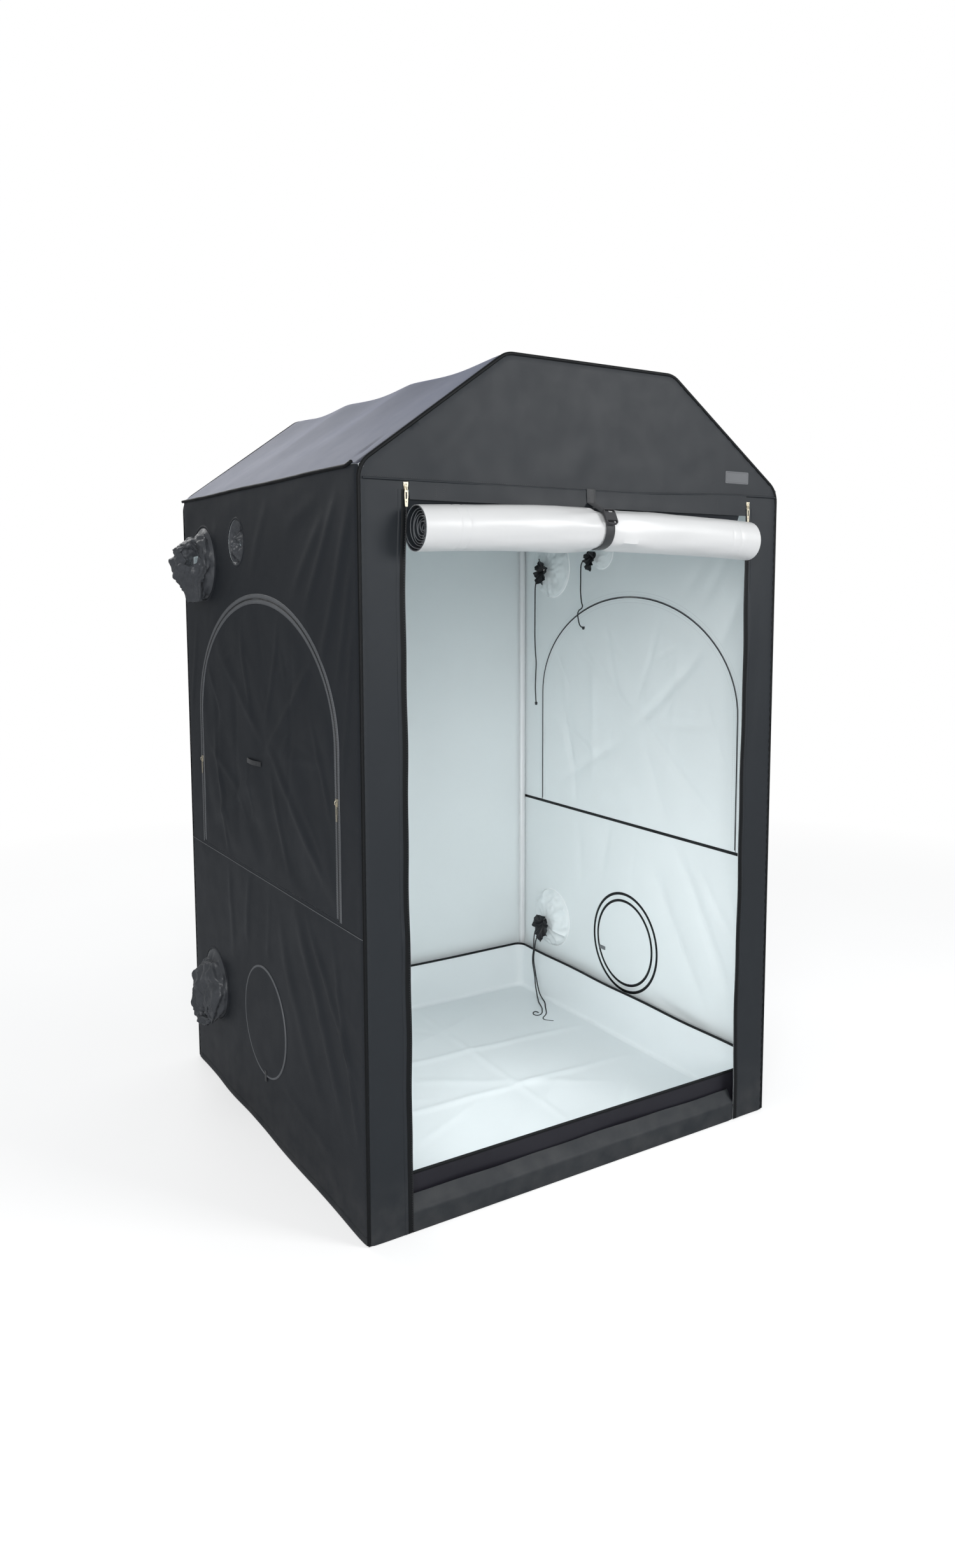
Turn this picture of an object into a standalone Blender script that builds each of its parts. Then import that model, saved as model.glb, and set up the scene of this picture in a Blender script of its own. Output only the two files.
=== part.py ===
"""Indoor grow tent with a pitched roof, its front door rolled up and strapped.

Metres, +Z up. The front faces -Y, and the origin is the middle of the floor's underside.
"""

import math

import bmesh
import bpy
from mathutils import Matrix, Vector

# Driving dimensions, over the outside of the canvas
WIDTH = 1.200
DEPTH = 1.200
EAVE_HEIGHT = 1.690
ROOF_RISE = 0.260
RIDGE_WIDTH = 0.480
GABLE_ROUND = 0.060
CLOTH = 0.0015
GAP = 0.0003
OVERRUN = 0.010
WELD = 0.00002
SMOOTH_ANGLE = math.radians(40)

# Steel frame
TUBE = 0.022
TUBE_WALL = 0.001
SPIGOT_FIT = 0.0003
SPIGOT = 0.035
HUB_RADIUS = 0.013
HUB_RINGS = 8
HUB_ARM = 0.040
HUB_TWIST = math.radians(7)
ARCH_BEND = 0.060
ARCH_BEND_STEPS = 5
ARCH_STUD = 0.035
RAIL_DROP = 0.0085
BAR_TUBE = 0.016
BAR_HOOK_WALL = 0.004
BAR_HOOK_WIDTH = 0.028
BAR_HOOK_LIP = 0.004
BAR_HOOK_SIDES = 20
BAR_PLACES = {"front": -0.160, "back": 0.220}
TUBE_SIDES = 12
TUBE_BEVEL = 4

# Front wall, its doorway and sill
JAMB = 0.111
HEADER = 0.050
SILL_FACE = 0.050
SILL_TOP = 0.078
SILL_DEPTH = 0.0225
SILL_CLOTH = 0.0015

# Spill tray
TRAY_HEIGHT = 0.152
TRAY_LIP = 0.125
TRAY_ROUND = 0.030

# Side doors: straight sides up to the springing, then half an ellipse
SEAM_HEIGHT = 0.700
DOOR_HALF = 0.475
DOOR_ARCH = 0.330
DOOR_CLEAR = 0.280
DOOR_GAP = 0.0004
ARCH_STEPS = 20

# Vents in both side walls, covered by a round flap outside and one inside
VENT_PLACE = 0.010
VENT_HEIGHT = 0.307
VENT_FLAP_RADIUS = 0.148
VENT_FLAP = 0.002
VENT_INNER_RADIUS = 0.145
VENT_TAB_LENGTH = 0.014
VENT_TAB_WIDTH = 0.012
VENT_SIDES = 32

# Duct ports: how far in from the back, how far under the eaves or over the floor, and hole radius
PORT_FROM_BACK = {"upper": 0.180, "small": 0.455, "lower": 0.190}
PORT_UNDER_EAVES = {"upper": 0.185, "small": 0.135}
PORT_OVER_FLOOR = {"lower": 0.290}
PORT_RADIUS = {"upper": 0.100, "small": 0.058, "lower": 0.100}
PORT_SIDES = 20

# Duct sleeves, as lengths out from the canvas, drops and radii at each ring
SLEEVE_CLOTH = 0.0020
SLEEVE_OUT = {"upper": 0.090, "small": 0.012, "lower": 0.074}
SLEEVE_DROP = {"upper": 0.026, "small": 0.004, "lower": 0.022}
SLEEVE_IN = {"upper": 0.052, "small": 0.052, "lower": 0.052}
SLEEVE_DROOP = {"upper": 0.015, "small": 0.033, "lower": 0.029}
SLEEVE_NECK = {"upper": 0.011, "small": 0.009, "lower": 0.011}
SLEEVE_STAR = {"upper": 0.037, "small": 0.027, "lower": 0.040}
HUNG_ALONG_SHARES = (0, 0.20, 0.45, 0.68, 0.86, 0.97)
HUNG_RADIUS_SHARES = (1, 0.98, 0.92, 0.84, 0.62, 0.30)
TIED_ALONG_SHARES = (0, 0.16, 0.34, 0.50, 0.62, 0.80, 0.94)
TIED_RADIUS_SHARES = (1, 0.90, 0.66, 0.38)
STAR_RADIUS_SHARES = (0.75, 1)
FOLD_SHARE = 0.085
FOLDS = 5
STAR_FOLD_SHARE = 0.22
STAR_LOBES = 5
SLEEVE_SIDES = 20

# Rolled front door
ROLL_RADIUS = 0.052
ROLL_CLOTH = 0.0032
ROLL_CORE = 0.013
ROLL_TURNS = 5
ROLL_TURN_POINTS = 10
ROLL_PLACE = -0.010
ROLL_END_GAP = 0.005
ROLL_DROP = 0.0705
ROLL_STAND_OFF = 0.031
ROLL_TAIL_LAP = 0.022
ROLL_STATION_SHARES = (-1, -0.70, -0.30, -0.07, 0, 0.07, 0.30, 0.70, 1)
ROLL_SIZE_SHARES = (1, 0.98, 0.98, 0.90, 0.86, 0.91, 0.98, 0.98, 1)
ROLL_DROOP = 0.0125

# Strap round the rolled door, and its side-release buckle
STRAP_WIDTH = 0.025
STRAP_CLOTH = 0.0014
STRAP_LAP = 0.028
STRAP_LEAVE = 0.008
STRAP_STEPS = 14
BUCKLE_LENGTH = 0.040
BUCKLE_WIDTH = 0.032
BUCKLE_THICK = 0.006
BUCKLE_TURN = math.radians(62)

# Zip sliders and their pulls
SLIDER_WIDTH = 0.011
SLIDER_NOSE = 0.006
SLIDER_LENGTH = 0.018
SLIDER_THICK = 0.0030
BRIDGE_WIRE = 0.0014
BRIDGE_HALF = 0.0050
BRIDGE_RISE = 0.0038
PULL_LENGTH = 0.042
PULL_WIDTH = 0.0085
PULL_THICK = 0.0010
PULL_NECK = 0.0060
PULL_WINDOW = 0.0080
PULL_BAR = 0.0007
PULL_SLOT = (0.0120, 0.0260)
PULL_SLOT_HALF = 0.0018
PULL_EYE = 0.0320
PULL_EYE_RADIUS = 0.0013
PULL_EYE_SIDES = 8
PULL_STAND = 0.0015
FRONT_SLIDER_RISE = 0.0065
FRONT_SLIDER_OUT = 0.0025
SIDE_SLIDER_RISE = {"back": 0.244, "front": 0.268}

# Tie cords of the three sleeves that are pushed in through the right wall
CORD = 0.0040
CORD_STEP = 0.012
CURVE_PIECES = 24
CORD_ROUTES = {
    "upper": (
        (0.5643, 0.4334, 1.4895), (0.5635, 0.4378, 1.4863), (0.5620, 0.4460, 1.4800),
        (0.5600, 0.4540, 1.4700), (0.5580, 0.4600, 1.4560), (0.5565, 0.4625, 1.4350),
        (0.5560, 0.4625, 1.4040), (0.5560, 0.4628, 1.3400), (0.5560, 0.4630, 1.2730),
        (0.5562, 0.4600, 1.2250), (0.5565, 0.4555, 1.1860), (0.5562, 0.4570, 1.1400),
        (0.5560, 0.4590, 1.0980), (0.5558, 0.4560, 1.0650), (0.5556, 0.4530, 1.0390),
    ),
    "small": (
        (0.5642, 0.1590, 1.5340), (0.5620, 0.1700, 1.5320),
        (0.5600, 0.1810, 1.5290), (0.5580, 0.1920, 1.5240), (0.5565, 0.1990, 1.5130),
        (0.5560, 0.2010, 1.4950), (0.5560, 0.2010, 1.4600), (0.5560, 0.2010, 1.4260),
        (0.5586, 0.1994, 1.3940), (0.5612, 0.1975, 1.3805), (0.5590, 0.1990, 1.3725),
        (0.5532, 0.2028, 1.3675), (0.5497, 0.2050, 1.3610), (0.5487, 0.2057, 1.3520),
        (0.5500, 0.2050, 1.3400), (0.5520, 0.2037, 1.3270), (0.5555, 0.2012, 1.3165),
        (0.5615, 0.1975, 1.3110), (0.5673, 0.1937, 1.3091),
    ),
    "lower": (
        (0.5638, 0.4265, 0.2671), (0.5620, 0.4370, 0.2600),
        (0.5600, 0.4470, 0.2520), (0.5580, 0.4560, 0.2400), (0.5565, 0.4620, 0.2220),
        (0.5560, 0.4650, 0.1980), (0.5560, 0.4670, 0.1650), (0.5560, 0.4720, 0.1400),
        (0.5560, 0.4720, 0.1150), (0.5560, 0.4660, 0.0930), (0.5560, 0.4590, 0.0700),
        (0.5560, 0.4560, 0.0480), (0.5550, 0.4500, 0.0280), (0.5520, 0.4400, 0.0130),
        (0.5455, 0.4270, 0.0065), (0.5350, 0.4070, 0.0057), (0.5240, 0.3880, 0.0057),
        (0.5100, 0.3550, 0.0057), (0.5000, 0.3320, 0.0057), (0.4880, 0.3130, 0.0057),
        (0.4790, 0.3000, 0.0057), (0.4660, 0.2880, 0.0057), (0.4530, 0.2840, 0.0057),
        (0.4450, 0.2900, 0.0057), (0.4450, 0.3020, 0.0057), (0.4520, 0.3140, 0.0057),
        (0.4620, 0.3180, 0.0057), (0.4670, 0.3100, 0.0057), (0.4655, 0.3030, 0.0057),
    ),
    "lower_tail": (
        (0.5646, 0.4076, 0.2588), (0.5640, 0.4130, 0.2500),
        (0.5635, 0.4230, 0.2400), (0.5630, 0.4350, 0.2300), (0.5620, 0.4470, 0.2190),
        (0.5612, 0.4570, 0.2050), (0.5608, 0.4630, 0.1880), (0.5606, 0.4670, 0.1650),
        (0.5606, 0.4720, 0.1400), (0.5606, 0.4715, 0.1150), (0.5606, 0.4650, 0.0930),
        (0.5600, 0.4570, 0.0700), (0.5590, 0.4480, 0.0480), (0.5575, 0.4380, 0.0290),
        (0.5560, 0.4270, 0.0150), (0.5535, 0.4120, 0.0072), (0.5480, 0.3950, 0.0057),
        (0.5400, 0.3740, 0.0057), (0.5300, 0.3560, 0.0057), (0.5180, 0.3380, 0.0057),
        (0.5070, 0.3190, 0.0057), (0.4960, 0.3000, 0.0057), (0.4850, 0.2840, 0.0057),
        (0.4700, 0.2700, 0.0057), (0.4560, 0.2600, 0.0057), (0.4490, 0.2490, 0.0057),
        (0.4500, 0.2370, 0.0057), (0.4580, 0.2270, 0.0057), (0.4680, 0.2170, 0.0057),
    ),
}

# What follows from the driving dimensions
HALF_WIDTH = WIDTH / 2
HALF_DEPTH = DEPTH / 2
RIDGE_HEIGHT = EAVE_HEIGHT + ROOF_RISE
RUN = (WIDTH - RIDGE_WIDTH) / 2
PITCH = math.atan2(ROOF_RISE, RUN)
TUBE_RADIUS = TUBE / 2
BORE_RADIUS = TUBE_RADIUS - TUBE_WALL
SPIGOT_RADIUS = BORE_RADIUS - SPIGOT_FIT
FRAME_INSET = CLOTH + GAP + HUB_RADIUS
FRAME_X = HALF_WIDTH - FRAME_INSET
FRAME_Y = HALF_DEPTH - FRAME_INSET
INSIDE_X = HALF_WIDTH - CLOTH
INSIDE_Y = HALF_DEPTH - CLOTH
DOORWAY_HALF = HALF_WIDTH - JAMB
DOORWAY_TOP = EAVE_HEIGHT - HEADER
DOOR_TOP = EAVE_HEIGHT - DOOR_CLEAR
DOOR_SPRING = DOOR_TOP - DOOR_ARCH
ROLL_HALF_LENGTH = DOORWAY_HALF + ROLL_PLACE - ROLL_END_GAP
ROLL_TAIL_TOP = DOORWAY_TOP + ROLL_TAIL_LAP
PORTS = {}
for port, inset in PORT_FROM_BACK.items():
    if port in PORT_OVER_FLOOR:
        height = PORT_OVER_FLOOR[port]
    else:
        height = EAVE_HEIGHT - PORT_UNDER_EAVES[port]
    PORTS[port] = (HALF_DEPTH - inset, height, PORT_RADIUS[port])
SIDES = {"left": -1, "right": 1}
ENDS = {"front": -1, "back": 1}

parts = bpy.data.collections.new("grow_tent")


def clear_scene():
    for obj in list(bpy.data.objects):
        bpy.data.objects.remove(obj, do_unlink=True)


def material(name, colour, roughness, metallic=0.0):
    made = bpy.data.materials.new(name)
    made.use_nodes = True
    shader = made.node_tree.nodes["Principled BSDF"]
    shader.inputs["Base Color"].default_value = (*colour, 1.0)
    shader.inputs["Roughness"].default_value = roughness
    shader.inputs["Metallic"].default_value = metallic
    return made


def add(name, data, finish):
    """A new object of the tent, holding this mesh or curve."""
    obj = bpy.data.objects.new(name, data)
    parts.objects.link(obj)
    data.materials.clear()
    data.materials.append(finish)
    return obj


def evaluated_mesh(obj):
    """The object's mesh with its modifiers, in its own space, with loose curve caps welded."""
    bpy.context.view_layer.update()
    graph = bpy.context.evaluated_depsgraph_get()
    mesh = bpy.data.meshes.new_from_object(obj.evaluated_get(graph))
    made = bmesh.new()
    made.from_mesh(mesh)
    bmesh.ops.remove_doubles(made, verts=made.verts, dist=WELD)
    made.to_mesh(mesh)
    made.free()
    return mesh


def as_mesh(obj):
    """The same object with its curve or modifiers made into a plain mesh."""
    mesh = evaluated_mesh(obj)
    name, place, finish = obj.name, obj.matrix_world.copy(), obj.data.materials[0]
    bpy.data.objects.remove(obj, do_unlink=True)
    made = add(name, mesh, finish)
    made.matrix_world = place
    return made


def combine(base, others, operation):
    """The base joined with, or cut by, the others, which are used up."""
    for other in others:
        change = base.modifiers.new(other.name, "BOOLEAN")
        change.operation = operation
        change.solver = "EXACT"
        change.object = other
    joined = as_mesh(base)
    for other in others:
        bpy.data.objects.remove(other, do_unlink=True)
    return joined


def settle(obj):
    """The same mesh object with its place moved into its mesh."""
    obj.data.transform(obj.matrix_world)
    obj.matrix_world = Matrix()
    return obj


def smooth(obj):
    obj.data.shade_smooth()
    obj.data.set_sharp_from_angle(angle=SMOOTH_ANGLE)
    return obj


def aim(obj, start, direction):
    """Puts the object's origin at start, with its +Z along the direction."""
    obj.location = start
    obj.rotation_euler = Vector(direction).to_track_quat("Z", "Y").to_euler()
    return obj


def turned(name, profile, finish, closed, steps=TUBE_SIDES):
    """A profile of (radius, height) points turned round Z. It runs down its outer side."""
    mesh = bpy.data.meshes.new(name)
    points = [(radius, 0, height) for radius, height in profile]
    edges = [(n, n + 1) for n in range(len(points) - 1)]
    if closed:
        edges.append((len(points) - 1, 0))
    mesh.from_pydata(points, edges, [])
    obj = add(name, mesh, finish)
    screw = obj.modifiers.new("turn", "SCREW")
    screw.axis = "Z"
    screw.steps = steps
    screw.render_steps = steps
    screw.use_merge_vertices = True
    screw.merge_threshold = WELD
    return obj


def pipe(name, start, end, finish):
    """A straight steel tube with open ends."""
    run = Vector(end) - Vector(start)
    length = run.length
    profile = ((TUBE_RADIUS, length), (TUBE_RADIUS, 0), (BORE_RADIUS, 0), (BORE_RADIUS, length))
    return aim(turned(name, profile, finish, closed=True), start, run)


def rod(name, start, end, radius, finish):
    run = Vector(end) - Vector(start)
    length = run.length
    profile = ((0, length), (radius, length), (radius, 0), (0, 0))
    return aim(turned(name, profile, finish, closed=False), start, run)


def curve_object(name, points, radius, finish, rings=2, cyclic=False):
    """A round wire along the points, with filled ends."""
    curve = bpy.data.curves.new(name, "CURVE")
    curve.dimensions = "3D"
    curve.bevel_depth = radius
    curve.bevel_resolution = rings
    curve.use_fill_caps = True
    spline = curve.splines.new("POLY")
    spline.points.add(len(points) - 1)
    for point, place in zip(spline.points, points):
        point.co = (*place, 1)
    spline.use_cyclic_u = cyclic
    return add(name, curve, finish)


def plate(name, outline, holes, thickness, finish):
    """A flat sheet in its own XY plane, with half its thickness on each side."""
    curve = bpy.data.curves.new(name, "CURVE")
    curve.dimensions = "2D"
    curve.fill_mode = "BOTH"
    curve.extrude = thickness / 2
    for points in (outline, *holes):
        spline = curve.splines.new("POLY")
        spline.points.add(len(points) - 1)
        for point, place in zip(spline.points, points):
            point.co = (*place, 0, 1)
        spline.use_cyclic_u = True
    return add(name, curve, finish)


def stand_across(obj, place):
    """Turns a plate so that its X runs along +X and its Y up, as a front or back wall."""
    obj.location = place
    obj.rotation_euler = (math.pi / 2, 0, 0)
    return obj


def stand_along(obj, place):
    """Turns a plate so that its X runs along +Y and its Y up, as a side wall."""
    obj.location = place
    obj.rotation_euler = (math.pi / 2, 0, math.pi / 2)
    return obj


def circle(centre, radius, count):
    turns = [2 * math.pi * n / count for n in range(count)]
    return [(centre[0] + radius * math.cos(t), centre[1] + radius * math.sin(t)) for t in turns]


def rounded(corners, radius, steps=5):
    """The closed outline with each corner whose radius isn't zero made round."""
    points = []
    count = len(corners)
    for n, corner in enumerate(corners):
        here = Vector(corner)
        size = radius[n]
        if not size:
            points.append(tuple(here))
            continue
        before = (Vector(corners[n - 1]) - here).normalized()
        after = (Vector(corners[(n + 1) % count]) - here).normalized()
        half = before.angle(after) / 2
        reach = size / math.tan(half)
        centre = here + (before + after).normalized() * size / math.sin(half)
        first = here + before * reach - centre
        last = here + after * reach - centre
        sweep = first.angle_signed(last)
        for k in range(steps + 1):
            turn = Matrix.Rotation(-sweep * k / steps, 2)
            points.append(tuple(centre + turn @ first))
    return points


def pivot(name, place):
    """An empty on a joint's axis, to carry the piece that moves."""
    empty = bpy.data.objects.new(name, None)
    empty.empty_display_size = TUBE
    empty.location = place
    parts.objects.link(empty)
    return empty


def carry(obj, empty):
    obj.parent = empty
    obj.location = Vector(obj.location) - empty.location
    return obj


def gable_corners(inset):
    """The gable's eave and ridge corners on the left, moved in from the canvas's outside."""
    sin, cos = math.sin(PITCH), math.cos(PITCH)
    start = Vector((-HALF_WIDTH + inset * sin, EAVE_HEIGHT - inset * cos))
    along = Vector((cos, sin))
    eave = start + along * (inset - inset * sin) / cos
    ridge = start + along * (RIDGE_HEIGHT - inset - start.y) / sin
    return eave, ridge


def loft(name, rings, finish, cap_start=True, cap_end=True):
    """A closed skin through rings of points, all with the same count, capped by flat faces."""
    mesh = bpy.data.meshes.new(name)
    made = bmesh.new()
    rows = [[made.verts.new(point) for point in ring] for ring in rings]
    count = len(rows[0])
    for low, high in zip(rows, rows[1:]):
        for n in range(count):
            m = (n + 1) % count
            made.faces.new((low[n], low[m], high[m], high[n]))
    if cap_start:
        made.faces.new(rows[0][::-1])
    if cap_end:
        made.faces.new(rows[-1])
    bmesh.ops.recalc_face_normals(made, faces=made.faces)
    made.to_mesh(mesh)
    made.free()
    return add(name, mesh, finish)


# Frame pieces

def connector(name, centre, directions, finish):
    """A ball with a collar and a spigot towards each tube.

    The collars' flats are turned a little, so that no two of them meet in line. The spigots' flats
    stay in line with the tubes' bores.
    """
    bpy.ops.mesh.primitive_uv_sphere_add(
        segments=TUBE_SIDES, ring_count=HUB_RINGS, radius=HUB_RADIUS)
    ball = bpy.context.active_object
    for collection in list(ball.users_collection):
        collection.objects.unlink(ball)
    mesh = ball.data
    bpy.data.objects.remove(ball, do_unlink=True)
    hub = add(name, mesh, finish)
    hub.location = centre
    arms = []
    for n, direction in enumerate(directions):
        end = Vector(centre) + direction * HUB_ARM
        collar = as_mesh(rod(f"{name}_collar{n}", centre, end, TUBE_RADIUS, finish))
        collar.rotation_euler = (collar.rotation_euler.to_matrix()
                                 @ Matrix.Rotation(n * HUB_TWIST, 3, "Z")).to_euler()
        root = Vector(centre) + direction * HUB_ARM / 2
        tip = end + direction * SPIGOT
        arms += [collar, as_mesh(rod(f"{name}_spigot{n}", root, tip, SPIGOT_RADIUS, finish))]
    return smooth(combine(hub, arms, "UNION"))


def arch_route():
    """The gable tube's centre line, between its two spigots, as (x, z)."""
    eave, ridge = gable_corners(FRAME_INSET)
    along = (ridge - eave).normalized()
    start = eave + along * (HUB_ARM + GAP)
    mirrored = [Vector((-p.x, p.y)) for p in (ridge, start)]
    corners = [start, ridge, *mirrored]
    return rounded(corners, (0, ARCH_BEND, ARCH_BEND, 0), steps=ARCH_BEND_STEPS)


def gable_arch(name, y, inward, finish):
    """A bent tube, bored right through, with a stud welded on for each ridge rail."""
    route = [Vector((x, y, z)) for x, z in arch_route()]
    tube = as_mesh(curve_object(name, route, TUBE_RADIUS, finish, rings=TUBE_BEVEL))
    first = route[0] - (route[1] - route[0]).normalized() * OVERRUN
    last = route[-1] - (route[-2] - route[-1]).normalized() * OVERRUN
    cut = [first, *route, last]
    bore = as_mesh(curve_object(name + "_bore", cut, BORE_RADIUS, finish, rings=TUBE_BEVEL))
    tube = combine(tube, [bore], "DIFFERENCE")
    x, z = rail_place()
    studs = []
    for side, sign in SIDES.items():
        start = (sign * x, y + inward * TUBE_WALL, z)
        end = (sign * x, y + inward * (TUBE_RADIUS + ARCH_STUD), z)
        studs.append(as_mesh(rod(f"{name}_stud_{side}", start, end, SPIGOT_RADIUS, finish)))
    return smooth(combine(tube, studs, "UNION"))


def rail_place():
    """Where a ridge rail runs: |x| and z of its centre line."""
    _, ridge = gable_corners(FRAME_INSET + RAIL_DROP)
    return -ridge.x, ridge.y


def hanging_bar(name, y, finish):
    """A cross bar with a hook over the ridge rail at each end."""
    x, z = rail_place()
    inner = TUBE_RADIUS + GAP
    outer = inner + BAR_HOOK_WALL
    reach = x - inner - BAR_HOOK_WALL / 2
    bar = settle(as_mesh(rod(name, (-reach, 0, 0), (reach, 0, 0), BAR_TUBE / 2, finish)))
    hooks = []
    for side, sign in SIDES.items():
        hook = f"{name}_hook_{side}"
        half = BAR_HOOK_WIDTH / 2
        profile = ((outer, half), (outer, -half), (inner, -half), (inner, half))
        ring = as_mesh(turned(hook, profile, finish, closed=True, steps=BAR_HOOK_SIDES))
        ring = aim(ring, (sign * x, 0, 0), (0, 1, 0))
        bpy.ops.mesh.primitive_cube_add(size=1)
        box = bpy.context.active_object
        box.name = hook + "_cut"
        box.dimensions = (2 * outer + OVERRUN, BAR_HOOK_WIDTH + OVERRUN, outer)
        box.location = (sign * x, 0, -BAR_HOOK_LIP - outer / 2)
        hooks.append(combine(ring, [box], "DIFFERENCE"))
    bar = combine(bar, hooks, "UNION")
    bore = rod(name + "_bore", (-x, 0, 0), (x, 0, 0), BAR_TUBE / 2 - TUBE_WALL, finish)
    bar = smooth(combine(bar, [as_mesh(bore)], "DIFFERENCE"))
    bar.location = (0, y, z)
    return bar


def build_frame(steel):
    base = FRAME_INSET
    eave, _ = gable_corners(FRAME_INSET)
    slope = Vector((math.cos(PITCH), math.sin(PITCH)))
    stand = HUB_ARM + GAP
    for end, ey in ENDS.items():
        y = ey * FRAME_Y
        for side, sx in SIDES.items():
            x = sx * FRAME_X
            level = (Vector((-sx, 0, 0)), Vector((0, -ey, 0)))
            up, down = Vector((0, 0, 1)), Vector((0, 0, -1))
            rafter = Vector((-sx * slope.x, 0, slope.y))
            connector(f"base_corner_{end}_{side}", (x, y, base), (up, *level), steel)
            connector(f"eave_corner_{end}_{side}", (x, y, eave.y), (down, *level, rafter), steel)
            pipe(f"leg_{end}_{side}", (x, y, base + stand), (x, y, eave.y - stand), steel)
        reach = FRAME_X - stand
        pipe(f"base_rail_{end}", (-reach, y, base), (reach, y, base), steel)
        pipe(f"eave_rail_{end}", (-reach, y, eave.y), (reach, y, eave.y), steel)
        gable_arch(f"gable_arch_{end}", y, -ey, steel)
    rail_x, rail_z = rail_place()
    for side, sx in SIDES.items():
        x = sx * FRAME_X
        reach = FRAME_Y - stand
        pipe(f"base_rail_{side}", (x, -reach, base), (x, reach, base), steel)
        pipe(f"eave_rail_{side}", (x, -reach, eave.y), (x, reach, eave.y), steel)
        reach = FRAME_Y - TUBE_RADIUS - GAP
        pipe(f"ridge_rail_{side}", (sx * rail_x, -reach, rail_z), (sx * rail_x, reach, rail_z), steel)
    for end, y in BAR_PLACES.items():
        hanging_bar(f"hanging_bar_{end}", y, steel)


# Canvas panels

def gable_outline(half_width, bottom):
    """The end wall's outline, from its bottom left corner round to its bottom right one."""
    return (
        (-half_width, bottom),
        (-half_width, EAVE_HEIGHT),
        (-RIDGE_WIDTH / 2, RIDGE_HEIGHT),
        (RIDGE_WIDTH / 2, RIDGE_HEIGHT),
        (half_width, EAVE_HEIGHT),
        (half_width, bottom),
    )


def end_walls(canvas):
    corners = gable_outline(HALF_WIDTH, 0)
    radii = (0, GABLE_ROUND, GABLE_ROUND, GABLE_ROUND, GABLE_ROUND, 0)
    back = plate("back_wall", rounded(corners, radii), (), CLOTH, canvas)
    stand_across(back, (0, HALF_DEPTH - CLOTH / 2, 0))
    doorway = (
        (DOORWAY_HALF, 0),
        (DOORWAY_HALF, DOORWAY_TOP),
        (-DOORWAY_HALF, DOORWAY_TOP),
        (-DOORWAY_HALF, 0),
    )
    outline = rounded((*corners, *doorway), (*radii, 0, 0, 0, 0))
    front = plate("front_wall", outline, (), CLOTH, canvas)
    stand_across(front, (0, -HALF_DEPTH + CLOTH / 2, 0))


def roof_skin(drop):
    """The roof's section at this depth under its outer face, left eave to right eave."""
    lift = drop / math.cos(PITCH)
    eave = Vector((-HALF_WIDTH, EAVE_HEIGHT - lift))
    _, ridge = gable_corners(drop)
    corners = (eave, ridge, Vector((-ridge.x, ridge.y)), Vector((HALF_WIDTH, eave.y)))
    size = GABLE_ROUND - drop
    return rounded([tuple(c) for c in corners], (0, size, size, 0), steps=4)


def roof(canvas):
    reach = INSIDE_Y - GAP
    section = roof_skin(0) + roof_skin(CLOTH)[::-1]
    rings = [[(x, y, z) for x, z in section] for y in (-reach, reach)]
    return loft("roof_cover", rings, canvas)


def door_outline(gap):
    """The side door's outline in (depth, height), shrunk by the gap, from its bottom corner."""
    half = DOOR_HALF - gap
    crown = DOOR_TOP - DOOR_SPRING - gap
    points = [(half, SEAM_HEIGHT + gap)]
    for n in range(ARCH_STEPS + 1):
        turn = math.pi * n / ARCH_STEPS
        points.append((half * math.cos(turn), DOOR_SPRING + crown * math.sin(turn)))
    points.append((-half, SEAM_HEIGHT + gap))
    return points


def side_wall(side, sign, canvas):
    reach = INSIDE_Y - GAP
    top = EAVE_HEIGHT - CLOTH / math.cos(PITCH) - GAP
    outline = ((-reach, 0), (reach, 0), (reach, top), (-reach, top))
    holes = [door_outline(0)]
    for y, z, radius in PORTS.values():
        holes.append(circle((y, z), radius, PORT_SIDES))
    wall = plate(f"{side}_wall", outline, holes, CLOTH, canvas)
    return stand_along(wall, (sign * (HALF_WIDTH - CLOTH / 2), 0, 0))


def side_door(side, sign, canvas):
    """The arched door, hung on the seam along its foot."""
    outline = [(y, z - SEAM_HEIGHT) for y, z in door_outline(DOOR_GAP)]
    door = plate(f"side_door_{side}", outline, (), CLOTH, canvas)
    stand_along(door, (sign * (HALF_WIDTH - CLOTH / 2), 0, SEAM_HEIGHT))
    carry(door, pivot(f"{side}_door_pivot", (sign * HALF_WIDTH, 0, SEAM_HEIGHT)))


def floor_and_sill(canvas):
    """The ground sheet, with the upstand over the front base rail that the door zips to."""
    reach_x = INSIDE_X - GAP
    reach_y = INSIDE_Y - GAP
    outline = ((-reach_x, -reach_y), (reach_x, -reach_y), (reach_x, reach_y), (-reach_x, reach_y))
    floor = plate("ground_sheet", outline, (), CLOTH, canvas)
    floor.location = (0, 0, CLOTH / 2)
    front = -HALF_DEPTH
    top_y = front + SILL_DEPTH
    across = Vector((SILL_DEPTH, SILL_TOP - SILL_FACE)).normalized()
    under = Vector((across.y, -across.x)) * SILL_CLOTH
    foot = front + FRAME_INSET
    section = (
        (front, 0),
        (front, SILL_FACE),
        (top_y, SILL_TOP),
        (top_y + under.x, SILL_TOP + under.y),
        (front + SILL_CLOTH, SILL_FACE - SILL_CLOTH / 2),
        (front + SILL_CLOTH, CLOTH),
        (foot, CLOTH),
        (foot, 0),
    )
    reach = DOORWAY_HALF - GAP
    rings = [[(x, y, z) for y, z in section] for x in (-reach, reach)]
    sill = loft("sill", rings, canvas)
    return combine(as_mesh(floor), [sill], "UNION")


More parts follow.
